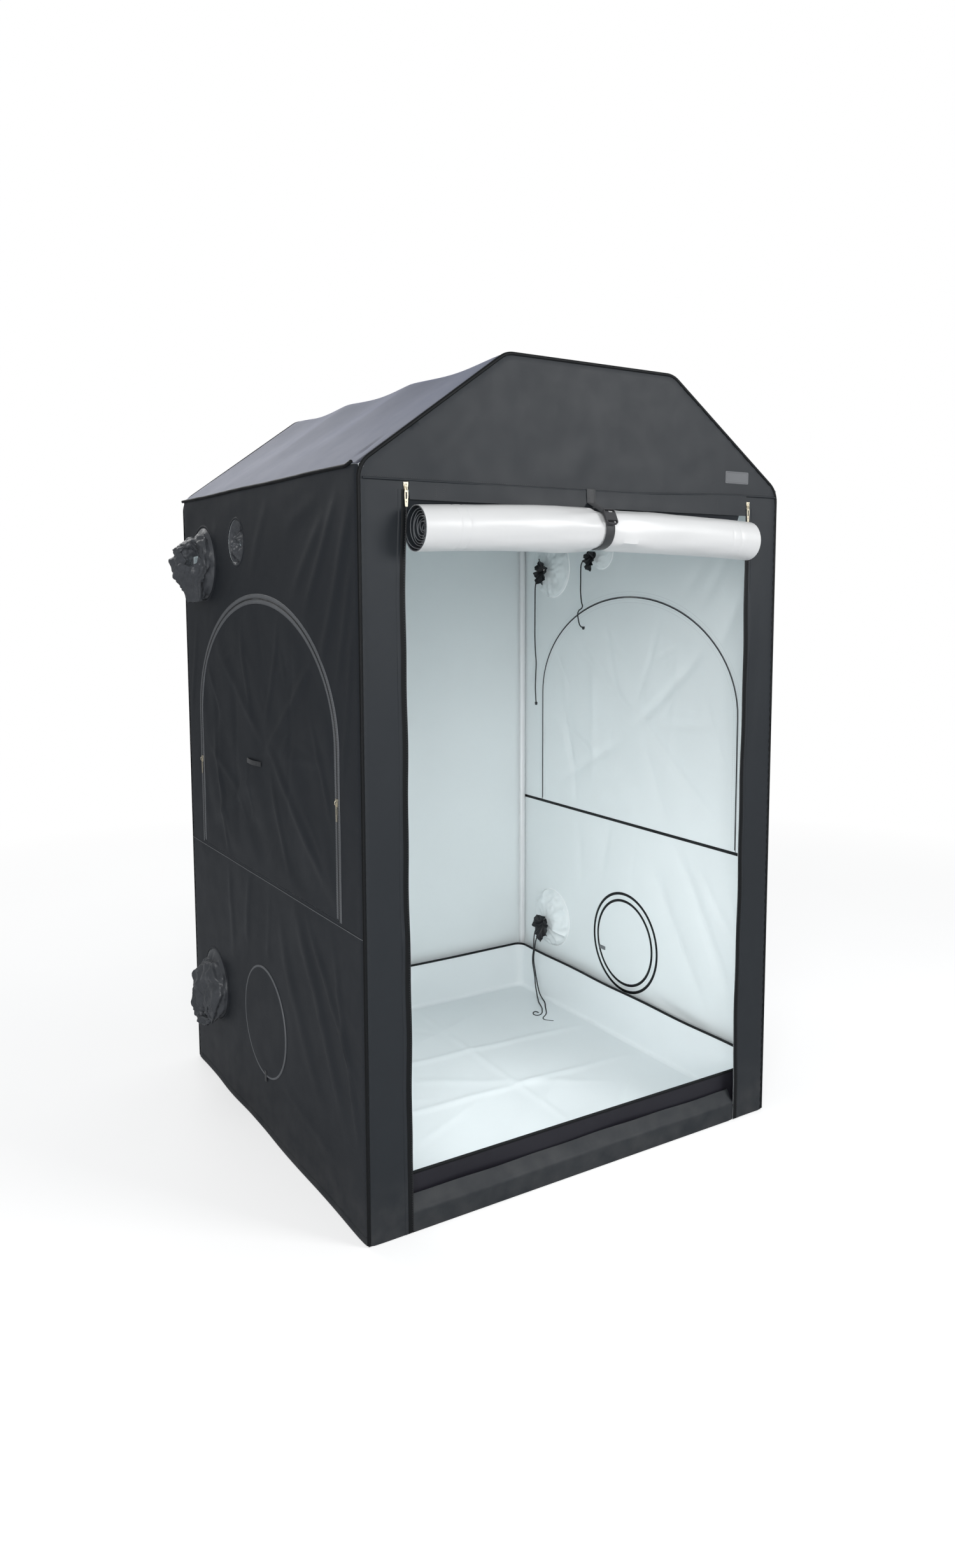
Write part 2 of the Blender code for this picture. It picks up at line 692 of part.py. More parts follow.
def spill_tray(lining):
    """The waterproof basin inside the tubes, with a lower lip at the doorway."""
    reach_x = FRAME_X - TUBE_RADIUS - GAP
    reach_y = FRAME_Y - TUBE_RADIUS - GAP
    low = CLOTH + GAP
    floor = low + CLOTH

    def block(name, inset, bottom, top):
        x, y = reach_x - inset, reach_y - inset
        corners = ((-x, -y), (x, -y), (x, y), (-x, y))
        sizes = (TRAY_ROUND - inset,) * len(corners)
        slab = plate(name, rounded(corners, sizes), (), top - bottom, lining)
        slab.location = (0, 0, (bottom + top) / 2)
        return as_mesh(slab)

    tray = block("spill_tray", 0, low, TRAY_HEIGHT)
    hollow = block("hollow", CLOTH, floor, TRAY_HEIGHT + OVERRUN)
    tray = combine(tray, [hollow], "DIFFERENCE")
    bpy.ops.mesh.primitive_cube_add(size=1)
    notch = bpy.context.active_object
    notch.name = "notch"
    notch.dimensions = (2 * (reach_x - TRAY_ROUND), 2 * TRAY_ROUND, 2 * (TRAY_HEIGHT - TRAY_LIP))
    notch.location = (0, -reach_y, TRAY_HEIGHT)
    return combine(tray, [notch], "DIFFERENCE")


def vent_flaps(side, sign, canvas, lining):
    """The round flap outside, hung at its top, and the one inside, hung at its front.

    The outside one turns about its outer face, so that it lifts clear of the wall.
    """
    stand = HALF_WIDTH + GAP
    hinge_x = stand + VENT_FLAP
    top = VENT_HEIGHT + VENT_FLAP_RADIUS
    rim = circle((0, -VENT_FLAP_RADIUS), VENT_FLAP_RADIUS, VENT_SIDES)
    outer = plate(f"vent_flap_outer_{side}", rim, (), VENT_FLAP, canvas)
    tab = plate("tab", tab_outline(-2 * VENT_FLAP_RADIUS), (), VENT_FLAP, canvas)
    outer = combine(as_mesh(outer), [as_mesh(tab)], "UNION")
    stand_along(outer, (sign * (stand + VENT_FLAP / 2), VENT_PLACE, top))
    carry(outer, pivot(f"{side}_outer_flap_pivot", (sign * hinge_x, VENT_PLACE, top)))
    inside = INSIDE_X - GAP
    hinge = VENT_PLACE - VENT_INNER_RADIUS
    rim = circle((VENT_INNER_RADIUS, 0), VENT_INNER_RADIUS, VENT_SIDES)
    inner = plate(f"vent_flap_inner_{side}", rim, (), VENT_FLAP, lining)
    stand_along(inner, (sign * (inside - VENT_FLAP / 2), hinge, VENT_HEIGHT))
    carry(inner, pivot(f"{side}_inner_flap_pivot", (sign * inside, hinge, VENT_HEIGHT)))


def tab_outline(edge):
    """A pull tab below the flap's lowest point, reaching a little into it."""
    half = VENT_TAB_WIDTH / 2
    low, high = edge - VENT_TAB_LENGTH, edge + VENT_TAB_LENGTH
    return ((-half, low), (half, low), (half, high), (-half, high))


# Duct sleeves

def sleeve_ring(centre, radius, fold, lobes, twist, sign):
    """One ring of the sleeve, round the X axis, with its folds."""
    ring = []
    for n in range(SLEEVE_SIDES):
        turn = 2 * math.pi * n / SLEEVE_SIDES
        reach = radius * (1 + fold * math.cos(lobes * turn + twist))
        y = centre[1] + sign * reach * math.cos(turn)
        ring.append((centre[0], y, centre[2] + reach * math.sin(turn)))
    return ring


def cup(name, outer, inner, finish):
    """A closed skin out along the outer rings, shut at their end, and back in along the inner."""
    mesh = bpy.data.meshes.new(name)
    made = bmesh.new()
    rows = [[made.verts.new(p) for p in ring] for ring in (*inner[::-1], *outer)]
    count = len(rows[0])
    for low, high in zip(rows, rows[1:]):
        for n in range(count):
            m = (n + 1) % count
            made.faces.new((low[n], low[m], high[m], high[n]))
    for row, flip in ((rows[0], True), (rows[-1], False)):
        middle = sum((v.co for v in row), Vector()) / count
        tip = made.verts.new(middle)
        for n in range(count):
            m = (n + 1) % count
            corner = (row[m], row[n], tip) if flip else (row[n], row[m], tip)
            made.faces.new(corner)
    bmesh.ops.recalc_face_normals(made, faces=made.faces)
    made.to_mesh(mesh)
    made.free()
    return smooth(add(name, mesh, finish))


def hung_sleeve(name, port, sign, canvas):
    """A sleeve that hangs outside, slumping down from its port, with its mouth tucked in."""
    y, z, radius = PORTS[port]
    root = radius - GAP
    outer = [sleeve_ring((sign * INSIDE_X, y, z), root, 0, FOLDS, 0, sign)]
    inner = [sleeve_ring((sign * INSIDE_X, y, z), root - SLEEVE_CLOTH, 0, FOLDS, 0, sign)]
    for n, (along, size) in enumerate(zip(HUNG_ALONG_SHARES, HUNG_RADIUS_SHARES)):
        out = sign * (HALF_WIDTH + GAP + along * SLEEVE_OUT[port])
        drop = SLEEVE_DROP[port] * along ** 2
        fold = FOLD_SHARE * min(1, 3 * along)
        centre = (out, y, z - drop)
        outer.append(sleeve_ring(centre, root * size, fold, FOLDS, n, sign))
        if n < len(HUNG_ALONG_SHARES) - 1:
            inner.append(sleeve_ring(centre, root * size - SLEEVE_CLOTH, fold, FOLDS, n, sign))
    return cup(name, outer, inner, canvas)


def tied_sleeve(name, port, sign, canvas):
    """A sleeve pushed in through its port and tied, its drooping end spread like a star."""
    y, z, radius = PORTS[port]
    root = radius - GAP
    neck, star = SLEEVE_NECK[port], SLEEVE_STAR[port]
    sizes = [root * share for share in TIED_RADIUS_SHARES]
    sizes += [neck] + [star * share for share in STAR_RADIUS_SHARES]
    outer = [sleeve_ring((sign * HALF_WIDTH, y, z), root, 0, FOLDS, 0, sign)]
    inner = [sleeve_ring((sign * HALF_WIDTH, y, z), root - SLEEVE_CLOTH, 0, FOLDS, 0, sign)]
    for n, (along, size) in enumerate(zip(TIED_ALONG_SHARES, sizes)):
        droop = SLEEVE_DROOP[port] * along ** 2
        centre = (sign * (INSIDE_X - GAP - along * SLEEVE_IN[port]), y, z - droop)
        in_star = n >= len(TIED_RADIUS_SHARES)
        fold = STAR_FOLD_SHARE if in_star else FOLD_SHARE * min(1, 3 * along)
        lobes = STAR_LOBES if in_star else FOLDS
        outer.append(sleeve_ring(centre, size, fold, lobes, 0, sign))
        if not in_star:
            inner.append(sleeve_ring(centre, size - SLEEVE_CLOTH, fold, lobes, 0, sign))
    return cup(name, outer, inner, canvas)


# Rolled door, strap and buckle

def roll_centre(size, at):
    """The middle of the roll at this share of its half length, its ends drooping past the strap."""
    droop = ROLL_DROOP * at * at
    y = -HALF_DEPTH - ROLL_STAND_OFF
    return y, DOORWAY_TOP - ROLL_DROP - droop + ROLL_RADIUS * (1 - size) / 2


def tail_top():
    """Where the door's cloth meets the header, against the front wall."""
    return Vector((-HALF_DEPTH - GAP - ROLL_CLOTH / 2, ROLL_TAIL_TOP))


def tail_foot():
    """Where that cloth comes free just under the header and turns in behind the roll."""
    return Vector((tail_top().x, DOORWAY_TOP - ROLL_CLOTH))


def roll_surface(size):
    """The radius of the roll's outside at this share of its full size."""
    return (ROLL_RADIUS - ROLL_CLOTH / 2) * size + ROLL_CLOTH / 2


def roll_section(size, at):
    """The door's winding at one place: points of its centre line, from its tail to its core."""
    y, z = roll_centre(size, at)
    outer = (ROLL_RADIUS - ROLL_CLOTH / 2) * size
    core = ROLL_CORE * size
    leave = Vector((y + outer, z))
    points = [tail_top(), tail_foot(), (tail_foot() + leave) / 2]
    count = ROLL_TURNS * ROLL_TURN_POINTS
    for n in range(count + 1):
        turn = 2 * math.pi * n / ROLL_TURN_POINTS
        radius = outer + (core - outer) * n / count
        points.append(Vector((y + radius * math.cos(turn), z - radius * math.sin(turn))))
    return points


def thickened(points, thickness):
    """A closed outline round an open line of points."""
    left, right = [], []
    for n, point in enumerate(points):
        before = points[max(n - 1, 0)]
        after = points[min(n + 1, len(points) - 1)]
        along = (after - before).normalized()
        across = Vector((-along.y, along.x)) * thickness / 2
        left.append(point + across)
        right.append(point - across)
    return left, right


def ribbon(name, sections, finish):
    """A closed sheet lofted through (x, left side, right side) sections, its ends in quads."""
    mesh = bpy.data.meshes.new(name)
    made = bmesh.new()
    rows = []
    for x, left, right in sections:
        rows.append([made.verts.new((x, p.x, p.y)) for p in left + right[::-1]])
    count = len(rows[0])
    for low, high in zip(rows, rows[1:]):
        for n in range(count):
            m = (n + 1) % count
            made.faces.new((low[n], low[m], high[m], high[n]))
    for row in (rows[0], rows[-1]):
        for n in range(count // 2 - 1):
            made.faces.new((row[n], row[n + 1], row[count - 2 - n], row[count - 1 - n]))
    bmesh.ops.recalc_face_normals(made, faces=made.faces)
    made.to_mesh(mesh)
    made.free()
    return smooth(add(name, mesh, finish))


def front_door_roll(lining):
    sections = []
    for at, size in zip(ROLL_STATION_SHARES, ROLL_SIZE_SHARES):
        left, right = thickened(roll_section(size, at), ROLL_CLOTH)
        sections.append((ROLL_PLACE + at * ROLL_HALF_LENGTH, left, right))
    pitch = (ROLL_RADIUS - ROLL_CLOTH / 2 - ROLL_CORE) / ROLL_TURNS
    least = pitch * min(ROLL_SIZE_SHARES) - ROLL_CLOTH
    print(f"rolled door: {ROLL_TURNS} turns, least gap between turns {1000 * least:.2f} mm")
    return ribbon("front_door_roll", sections, lining)


def strap_size():
    """The roll's share of its full size under the strap."""
    return min(ROLL_SIZE_SHARES)


def strap_radius():
    """The radius of the strap's centre line round the roll, its flats clear of the cloth."""
    flats = math.cos(math.pi / STRAP_STEPS)
    return (roll_surface(strap_size()) + GAP + STRAP_CLOTH / 2) / flats


def tangent_turn(centre, radius, point, sign):
    """The angle round the centre at which a line from the point touches the circle."""
    away = point - centre
    return math.atan2(away.y, away.x) + sign * math.acos(radius / away.length)


def strap_route():
    """The strap's line: from the header down over the roll's front and up behind it."""
    centre = Vector(roll_centre(strap_size(), 0))
    radius = strap_radius()
    off = Vector((ROLL_CLOTH / 2 + GAP + STRAP_CLOTH, 0))
    header = tail_top() - off
    header.y = DOORWAY_TOP + STRAP_LAP
    parting = Vector((header.x, DOORWAY_TOP - STRAP_LEAVE))
    back = -INSIDE_Y + GAP + STRAP_CLOTH / 2
    under = Vector((back, DOORWAY_TOP - STRAP_CLOTH))
    first = tangent_turn(centre, radius, parting, 1)
    last = tangent_turn(centre, radius, under, -1) + 2 * math.pi
    points = [header, parting]
    for n in range(STRAP_STEPS + 1):
        turn = first + (last - first) * n / STRAP_STEPS
        points.append(centre + radius * Vector((math.cos(turn), math.sin(turn))))
    return [*points, under, Vector((back, DOORWAY_TOP + STRAP_LAP))]


def roll_strap(webbing):
    left, right = thickened(strap_route(), STRAP_CLOTH)
    half = STRAP_WIDTH / 2
    sections = [(ROLL_PLACE + x, left, right) for x in (-half, half)]
    return ribbon("roll_strap", sections, webbing)


def roll_buckle(plastic):
    """A side-release buckle lying on the strap, in front of the roll and near its top."""
    half_l, half_w = BUCKLE_LENGTH / 2, BUCKLE_WIDTH / 2
    corners = ((-half_w, -half_l), (half_w, -half_l), (half_w, half_l), (-half_w, half_l))
    body = rounded(corners, (BUCKLE_WIDTH / 4,) * 4, steps=3)
    slots = []
    for sign in (-1, 1):
        low, high = sorted((sign * half_l / 2, sign * (half_l - BUCKLE_THICK / 2)))
        reach = half_w - BUCKLE_THICK / 2
        slots.append(((-reach, low), (reach, low), (reach, high), (-reach, high)))
    buckle = as_mesh(plate("roll_buckle", body, slots, BUCKLE_THICK, plastic))
    y, z = roll_centre(strap_size(), 0)
    stand = strap_radius() + STRAP_CLOTH / 2 + GAP + BUCKLE_THICK / 2
    out = Vector((0, -math.sin(BUCKLE_TURN), math.cos(BUCKLE_TURN)))
    aim(buckle, Vector((ROLL_PLACE, y, z)) + out * stand, out)
    return buckle


# Zips

def slider_mesh(name, metal):
    """The slider's body and bridge, in its own XY plane, with +Z off the zip."""
    half, nose, tall = SLIDER_WIDTH / 2, SLIDER_NOSE / 2, SLIDER_LENGTH / 2
    shoulder = tall / 2
    outline = (
        (-nose, -tall), (nose, -tall), (half, shoulder), (half, tall), (-half, tall), (-half, shoulder),
    )
    body = plate(name, outline, (), SLIDER_THICK, metal)
    body.location = (0, 0, SLIDER_THICK / 2)
    body = as_mesh(body)
    foot = SLIDER_THICK / 2
    rise = SLIDER_THICK + BRIDGE_RISE
    route = [(0, -BRIDGE_HALF, foot), (0, -BRIDGE_HALF, SLIDER_THICK + BRIDGE_RISE / 2)]
    route += [(0, -BRIDGE_HALF / 2, rise), (0, BRIDGE_HALF / 2, rise)]
    route += [(0, BRIDGE_HALF, SLIDER_THICK + BRIDGE_RISE / 2), (0, BRIDGE_HALF, foot)]
    bridge = as_mesh(curve_object(name + "_bridge", route, BRIDGE_WIRE / 2, metal, rings=1))
    return settle(combine(body, [bridge], "UNION"))


def pull_outline():
    """The pull's outline, hanging down from its pivot, and its three windows."""
    top, low = PULL_BAR, -PULL_LENGTH
    half, neck = PULL_WIDTH / 2, PULL_NECK / 2
    waist = -PULL_BAR - PULL_WINDOW
    outline = rounded(
        ((-neck, top), (neck, top), (neck, waist), (half, waist - PULL_BAR * 2),
         (half, low / 2), (neck, low), (-neck, low), (-half, low / 2),
         (-half, waist - PULL_BAR * 2), (-neck, waist)),
        (0, 0, 0, 0, 0, neck / 2, neck / 2, 0, 0, 0), steps=3,
    )
    gate = neck - 2 * PULL_BAR
    window = ((-gate, waist), (gate, waist), (gate, -PULL_BAR), (-gate, -PULL_BAR))
    slot_top, slot_low = (-distance for distance in PULL_SLOT)
    slot = (
        (-PULL_SLOT_HALF, slot_low), (PULL_SLOT_HALF, slot_low),
        (PULL_SLOT_HALF, slot_top), (-PULL_SLOT_HALF, slot_top),
    )
    eye = circle((0, -PULL_EYE), PULL_EYE_RADIUS, PULL_EYE_SIDES)
    return outline, (window, slot, eye)


def pull_mesh(name, metal):
    outline, windows = pull_outline()
    pull = plate(name, outline, windows, PULL_THICK, metal)
    return as_mesh(pull)


def front_zip(side, sign, metal):
    """A slider at the top of the doorway's zip, with its pull hanging free."""
    out = sign * (DOORWAY_HALF + FRONT_SLIDER_OUT)
    place = (out, -HALF_DEPTH - GAP, DOORWAY_TOP + FRONT_SLIDER_RISE)
    slider = slider_mesh(f"front_zip_slider_{side}", metal)
    stand_across(slider, place)
    lift = SLIDER_THICK + PULL_STAND
    hinge = (place[0], place[1] - lift, place[2])
    pull = stand_across(pull_mesh(f"front_zip_pull_{side}", metal), hinge)
    carry(pull, pivot(f"{side}_pull_pivot", hinge))


def side_zip(side, sign, end, ey, metal):
    """A slider on the side door's zip, with its pull lying against the cloth."""
    name = f"{side}_zip_slider_{end}"
    slider = slider_mesh(name, metal)
    pull = pull_mesh(name + "_pull", metal)
    pull.location = (0, 0, SLIDER_THICK)
    slider = combine(slider, [pull], "UNION")
    out = sign * (HALF_WIDTH + GAP)
    height = SEAM_HEIGHT + SIDE_SLIDER_RISE[end]
    slider.location = (out, ey * DOOR_HALF, height)
    slider.rotation_euler = (math.pi / 2, 0, sign * math.pi / 2)
    return slider


# Cords

def through(points, step):
    """Points at even steps along a smooth curve through the given ones."""
    knots = [Vector(p) for p in points]
    knots = [2 * knots[0] - knots[1], *knots, 2 * knots[-1] - knots[-2]]
    fine = []
    for a, b, c, d in zip(knots, knots[1:], knots[2:], knots[3:]):
        for k in range(CURVE_PIECES):
            t = k / CURVE_PIECES
            fine.append(
                (2 * b + (c - a) * t + (2 * a - 5 * b + 4 * c - d) * t ** 2
                 + (3 * b - a - 3 * c + d) * t ** 3) / 2
            )
    fine.append(knots[-2])
    total = sum((q - p).length for p, q in zip(fine, fine[1:]))
    count = max(2, round(total / step))
    even, walked, target = [fine[0]], 0, total / count
    for p, q in zip(fine, fine[1:]):
        length = (q - p).length
        while walked + length >= target * len(even) and len(even) < count:
            even.append(p + (q - p) * (target * len(even) - walked) / length)
        walked += length
    even.append(fine[-1])
    return even, total


def tie_cord(name, rope):
    route, length = through(CORD_ROUTES[name], CORD_STEP)
    apart = [
        (p - q).length - CORD
        for n, p in enumerate(route)
        for q in route[n + 3:]
    ]
    print(f"tie cord {name}: {length:.3f} m long, least gap to itself {1000 * min(apart):.1f} mm")
    return curve_object(f"tie_cord_{name}", route, CORD / 2, rope)


def main():
    clear_scene()
    bpy.context.scene.collection.children.link(parts)
    steel = material("white_coated_steel", (0.82, 0.83, 0.84), 0.35)
    canvas = material("black_canvas", (0.045, 0.047, 0.052), 0.62)
    lining = material("white_lining", (0.72, 0.76, 0.78), 0.38)
    webbing = material("grey_webbing", (0.11, 0.115, 0.12), 0.7)
    plastic = material("dark_plastic", (0.05, 0.05, 0.055), 0.35)
    nickel = material("nickel_zip", (0.72, 0.66, 0.52), 0.28, 1.0)
    rope = material("black_cord", (0.02, 0.022, 0.025), 0.8)

    build_frame(steel)
    end_walls(canvas)
    roof(canvas)
    floor_and_sill(canvas)
    spill_tray(lining)
    for side, sign in SIDES.items():
        side_wall(side, sign, canvas)
        side_door(side, sign, canvas)
        vent_flaps(side, sign, canvas, lining)
        front_zip(side, sign, nickel)
        for end, ey in ENDS.items():
            side_zip(side, sign, end, ey, nickel)
    for port in PORTS:
        hung_sleeve(f"duct_sleeve_{port}_left", port, SIDES["left"], canvas)
        tied_sleeve(f"duct_sleeve_{port}_right", port, SIDES["right"], canvas)
    for name in CORD_ROUTES:
        tie_cord(name, rope)
    front_door_roll(lining)
    roll_strap(webbing)
    roll_buckle(plastic)


main()
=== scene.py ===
"""Dresses the grow tent's frame with cloth, zips, sleeves and cords, and lights it.

Metres, in the CAD model's frame: +Z up, the front faces -Y.
"""

import math

import bmesh
import bpy
import numpy as np
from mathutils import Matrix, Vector, geometry


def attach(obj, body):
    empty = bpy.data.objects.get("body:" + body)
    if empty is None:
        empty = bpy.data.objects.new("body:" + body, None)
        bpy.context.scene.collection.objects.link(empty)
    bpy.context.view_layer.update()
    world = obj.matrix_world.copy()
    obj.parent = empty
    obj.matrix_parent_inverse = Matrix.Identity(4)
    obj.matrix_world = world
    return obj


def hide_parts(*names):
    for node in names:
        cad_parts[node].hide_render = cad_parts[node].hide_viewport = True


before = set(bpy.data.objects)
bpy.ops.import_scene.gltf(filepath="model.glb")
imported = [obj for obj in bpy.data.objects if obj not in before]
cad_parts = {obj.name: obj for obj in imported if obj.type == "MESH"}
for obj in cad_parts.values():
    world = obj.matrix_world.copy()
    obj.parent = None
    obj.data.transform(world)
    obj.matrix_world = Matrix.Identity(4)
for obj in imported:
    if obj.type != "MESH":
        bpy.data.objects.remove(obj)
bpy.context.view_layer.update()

# The tent, as in its CAD source
HALF = 0.600
EAVE = 1.690
RIDGE = 1.950
RIDGE_HALF = 0.240
GABLE_ROUND = 0.060
CLOTH = 0.0015
DOORWAY_HALF = 0.489
DOORWAY_TOP = 1.640
JAMB_LEAN = 0.004
SEAM = 0.700
DOOR_HALF = 0.475
DOOR_SPRING = 1.080
DOOR_TOP = 1.410
PORTS = {"upper": (0.420, 1.505, 0.100), "small": (0.145, 1.555, 0.058), "lower": (0.410, 0.290, 0.100)}
VENT = (0.010, 0.307)
BARS = (-0.160, 0.220)
SIDES = {"left": -1, "right": 1}

# How the cloth is laid
CORNER_ROUND = 0.011
CORNER_INSET = CORNER_ROUND * (1 - math.sqrt(0.5))
CANVAS = (0.0, -0.0008)
LINING = (-0.0009, -CLOTH)
WALL_STEP = 0.012


# Numbers

def smoothstep(low, high, value):
    t = np.clip((value - low) / (high - low), 0, 1)
    return t * t * (3 - 2 * t)


def divided(line, step, closed=True):
    """The line with its long pieces divided, as an array."""
    line = [np.array(p, float) for p in line]
    out = []
    pairs = zip(line, line[1:] + line[:1]) if closed else zip(line, line[1:])
    for a, b in pairs:
        count = max(1, math.ceil(np.linalg.norm(b - a) / step))
        out += [a + (b - a) * k / count for k in range(count)]
    if not closed:
        out.append(line[-1])
    return np.array(out)

def directions(path, closed):
    """The unit direction at each point of a path."""
    way = np.roll(path, -1, axis=0) - np.roll(path, 1, axis=0) if closed else np.gradient(path, axis=0)
    return way / np.linalg.norm(way, axis=1)[:, None]


def normals_of(path, closed=False):
    """The left-hand normal at each point of a flat path."""
    way = directions(path, closed)
    return np.column_stack([-way[:, 1], way[:, 0]])


def lengths_of(path):
    """How far along the path each of its points lies."""
    return np.concatenate([[0], np.cumsum(np.linalg.norm(np.diff(path, axis=0), axis=1))])


def points_at(path, lengths, where):
    """The points that lie this far along the path."""
    return np.column_stack([np.interp(where, lengths, column) for column in path.T])


def distance(points, line, closed=True):
    """How far each point lies from the line."""
    line = np.asarray(line, float)
    ends = np.roll(line, -1, axis=0) if closed else line[1:]
    least = np.full(len(points), np.inf)
    for a, b in zip(line, ends):
        along = b - a
        t = np.clip((points - a) @ along / max(along @ along, 1e-12), 0, 1)
        away = points - a - t[:, None] * along
        least = np.minimum(least, np.einsum("ij,ij->i", away, away))
    return np.sqrt(least)


def inside(points, line):
    x, y = points[:, 0], points[:, 1]
    odd = np.zeros(len(points), bool)
    for (ax, ay), (bx, by) in zip(line, np.roll(line, -1, axis=0)):
        if ay != by:
            crosses = (ay > y) != (by > y)
            odd ^= crosses & (x < (bx - ax) * (y - ay) / (by - ay) + ax)
    return odd


def rounded(corners, radius, steps=8):
    """The closed outline with each corner whose radius isn't zero made round."""
    points = []
    count = len(corners)
    for n, corner in enumerate(corners):
        here = Vector(corner)
        if not radius[n]:
            points.append(tuple(here))
            continue
        before = (Vector(corners[n - 1]) - here).normalized()
        after = (Vector(corners[(n + 1) % count]) - here).normalized()
        half = before.angle(after) / 2
        reach = radius[n] / math.tan(half)
        centre = here + (before + after).normalized() * radius[n] / math.sin(half)
        first = here + before * reach - centre
        last = here + after * reach - centre
        sweep = first.angle_signed(last)
        for k in range(steps + 1):
            turn = -sweep * k / steps
            cos, sin = math.cos(turn), math.sin(turn)
            spoke = Vector((cos * first.x - sin * first.y, sin * first.x + cos * first.y))
            points.append(tuple(centre + spoke))
    return points


def box(x0, y0, x1, y1):
    return ((x0, y0), (x1, y0), (x1, y1), (x0, y1))


def round_box(x0, y0, x1, y1, radius, steps=8):
    return rounded(box(x0, y0, x1, y1), (radius,) * 4, steps)


def circle(centre, radius, count):
    turns = np.linspace(0, math.tau, count, endpoint=False)
    return np.column_stack([centre[0] + radius * np.cos(turns), centre[1] + radius * np.sin(turns)])


def turned(angle):
    """The angle brought between minus half a turn and half a turn."""
    return np.angle(np.exp(1j * angle))


def waves(p, size, height, seed, count=9, stretch=(1, 1)):
    """Soft rumples of about this size: plane waves in drawn directions."""
    draw = np.random.default_rng(seed)
    total = np.zeros(len(p))
    for _ in range(count):
        turn, start = draw.uniform(0, math.tau, 2)
        length = size * draw.uniform(0.7, 1.7)
        way = np.array([math.cos(turn) / stretch[0], math.sin(turn) / stretch[1]]) * math.tau / length
        total += np.sin(p @ way + start)
    return total * height / math.sqrt(count)


def crease(p, a, b, width, height, lean=0.5):
    """One fold from a to b: a rounded ridge, steeper on one side, that dies out at its ends."""
    a, b = np.array(a), np.array(b)
    along = b - a
    length = np.linalg.norm(along)
    along /= length
    across = np.array([-along[1], along[0]])
    t = (p - a) @ along / length
    s = (p - a) @ across / width + 0.5 * np.sin(3.1 * t + 90 * a[0])
    ends = smoothstep(-0.1, 0.3, t) * smoothstep(-0.1, 0.3, 1 - t)
    return height * ends * np.exp(-s * s) * (1 - lean * s)


def creases(p, count, seed, box, angle, spread, length, width, height):
    """Folds drawn inside a box, at about this angle in degrees."""
    draw = np.random.default_rng(seed)
    total = np.zeros(len(p))
    for _ in range(count):
        middle = np.array([draw.uniform(box[0], box[2]), draw.uniform(box[1], box[3])])
        turn = math.radians(angle + draw.uniform(-spread, spread))
        half = np.array([math.cos(turn), math.sin(turn)]) * length * draw.uniform(0.5, 1.2) / 2
        size = width * draw.uniform(0.7, 1.4)
        total += crease(p, middle - half, middle + half, size, height * draw.uniform(-0.6, 1), 0.6)
    return total


# Materials

class Tree:
    """A node tree, with short ways to add and link its nodes."""

    def __init__(self, tree):
        self.nodes, self.links = tree.nodes, tree.links
        self.coordinates = self.nodes.new("ShaderNodeTexCoord").outputs

    def plug(self, node, inputs):
        """Links the node's inputs to sockets, or sets them to plain values."""
        for key, value in dict(inputs).items():
            if isinstance(value, bpy.types.NodeSocket):
                self.links.new(value, node.inputs[key])
            else:
                node.inputs[key].default_value = value

    def add(self, kind, inputs=(), **settings):
        node = self.nodes.new(kind)
        for key, value in settings.items():
            setattr(node, key, value)
        self.plug(node, inputs)
        return node

    def math(self, operation, a, b):
        return self.add("ShaderNodeMath", {0: a, 1: b}, operation=operation).outputs[0]

    def range(self, value, low, high, start=0.3, end=0.7):
        inputs = {"Value": value, "From Min": start, "From Max": end, "To Min": low, "To Max": high}
        return self.add("ShaderNodeMapRange", inputs).outputs["Result"]


class Graph(Tree):
    """A material's nodes."""

    def __init__(self, name):
        self.material = bpy.data.materials.new(name)
        self.material.use_nodes = True
        super().__init__(self.material.node_tree)
        self.shader = self.nodes["Principled BSDF"]
        self.place = self.coordinates["Object"]

    def set(self, **values):
        """Sets or links the shader's own sockets."""
        self.plug(self.shader, {key.replace("_", " "): value for key, value in values.items()})

    def noise(self, scale, detail=3.0, kind="FBM", **more):
        inputs = {"Vector": self.place, "Scale": scale, "Detail": detail, **more}
        return self.add("ShaderNodeTexNoise", inputs, noise_type=kind).outputs["Fac"]

    def mix(self, share, first, second):
        """Two colours mixed, each a socket or three numbers."""
        first, second = (c if isinstance(c, bpy.types.NodeSocket) else (*c, 1) for c in (first, second))
        return self.add("ShaderNodeMix", {0: share, 6: first, 7: second}, data_type="RGBA").outputs[2]

    def weave(self, size):
        """A woven height: bands along X, Y and Z, so that any flat panel shows a crossing of two."""
        total = None
        for way in "XYZ":
            band = self.add("ShaderNodeTexWave", {"Vector": self.place, "Scale": math.tau / 20 / size},
                            wave_type="BANDS", bands_direction=way).outputs["Fac"]
            total = band if total is None else self.math("ADD", total, band)
        return self.math("MULTIPLY", total, 1 / 3)

    def bump(self, *layers):
        """Bumps stacked from (height socket, distance in metres) pairs."""
        below = {}
        for height, reach in layers:
            inputs = {"Height": height, "Distance": reach, "Strength": 1.0, **below}
            below = {"Normal": self.add("ShaderNodeBump", inputs).outputs["Normal"]}
        self.plug(self.shader, below)


DUST = (0.22, 0.21, 0.20)
DUST_TOP = 0.16


def scaled(colour, share):
    return tuple(min(1, c * share) for c in colour)


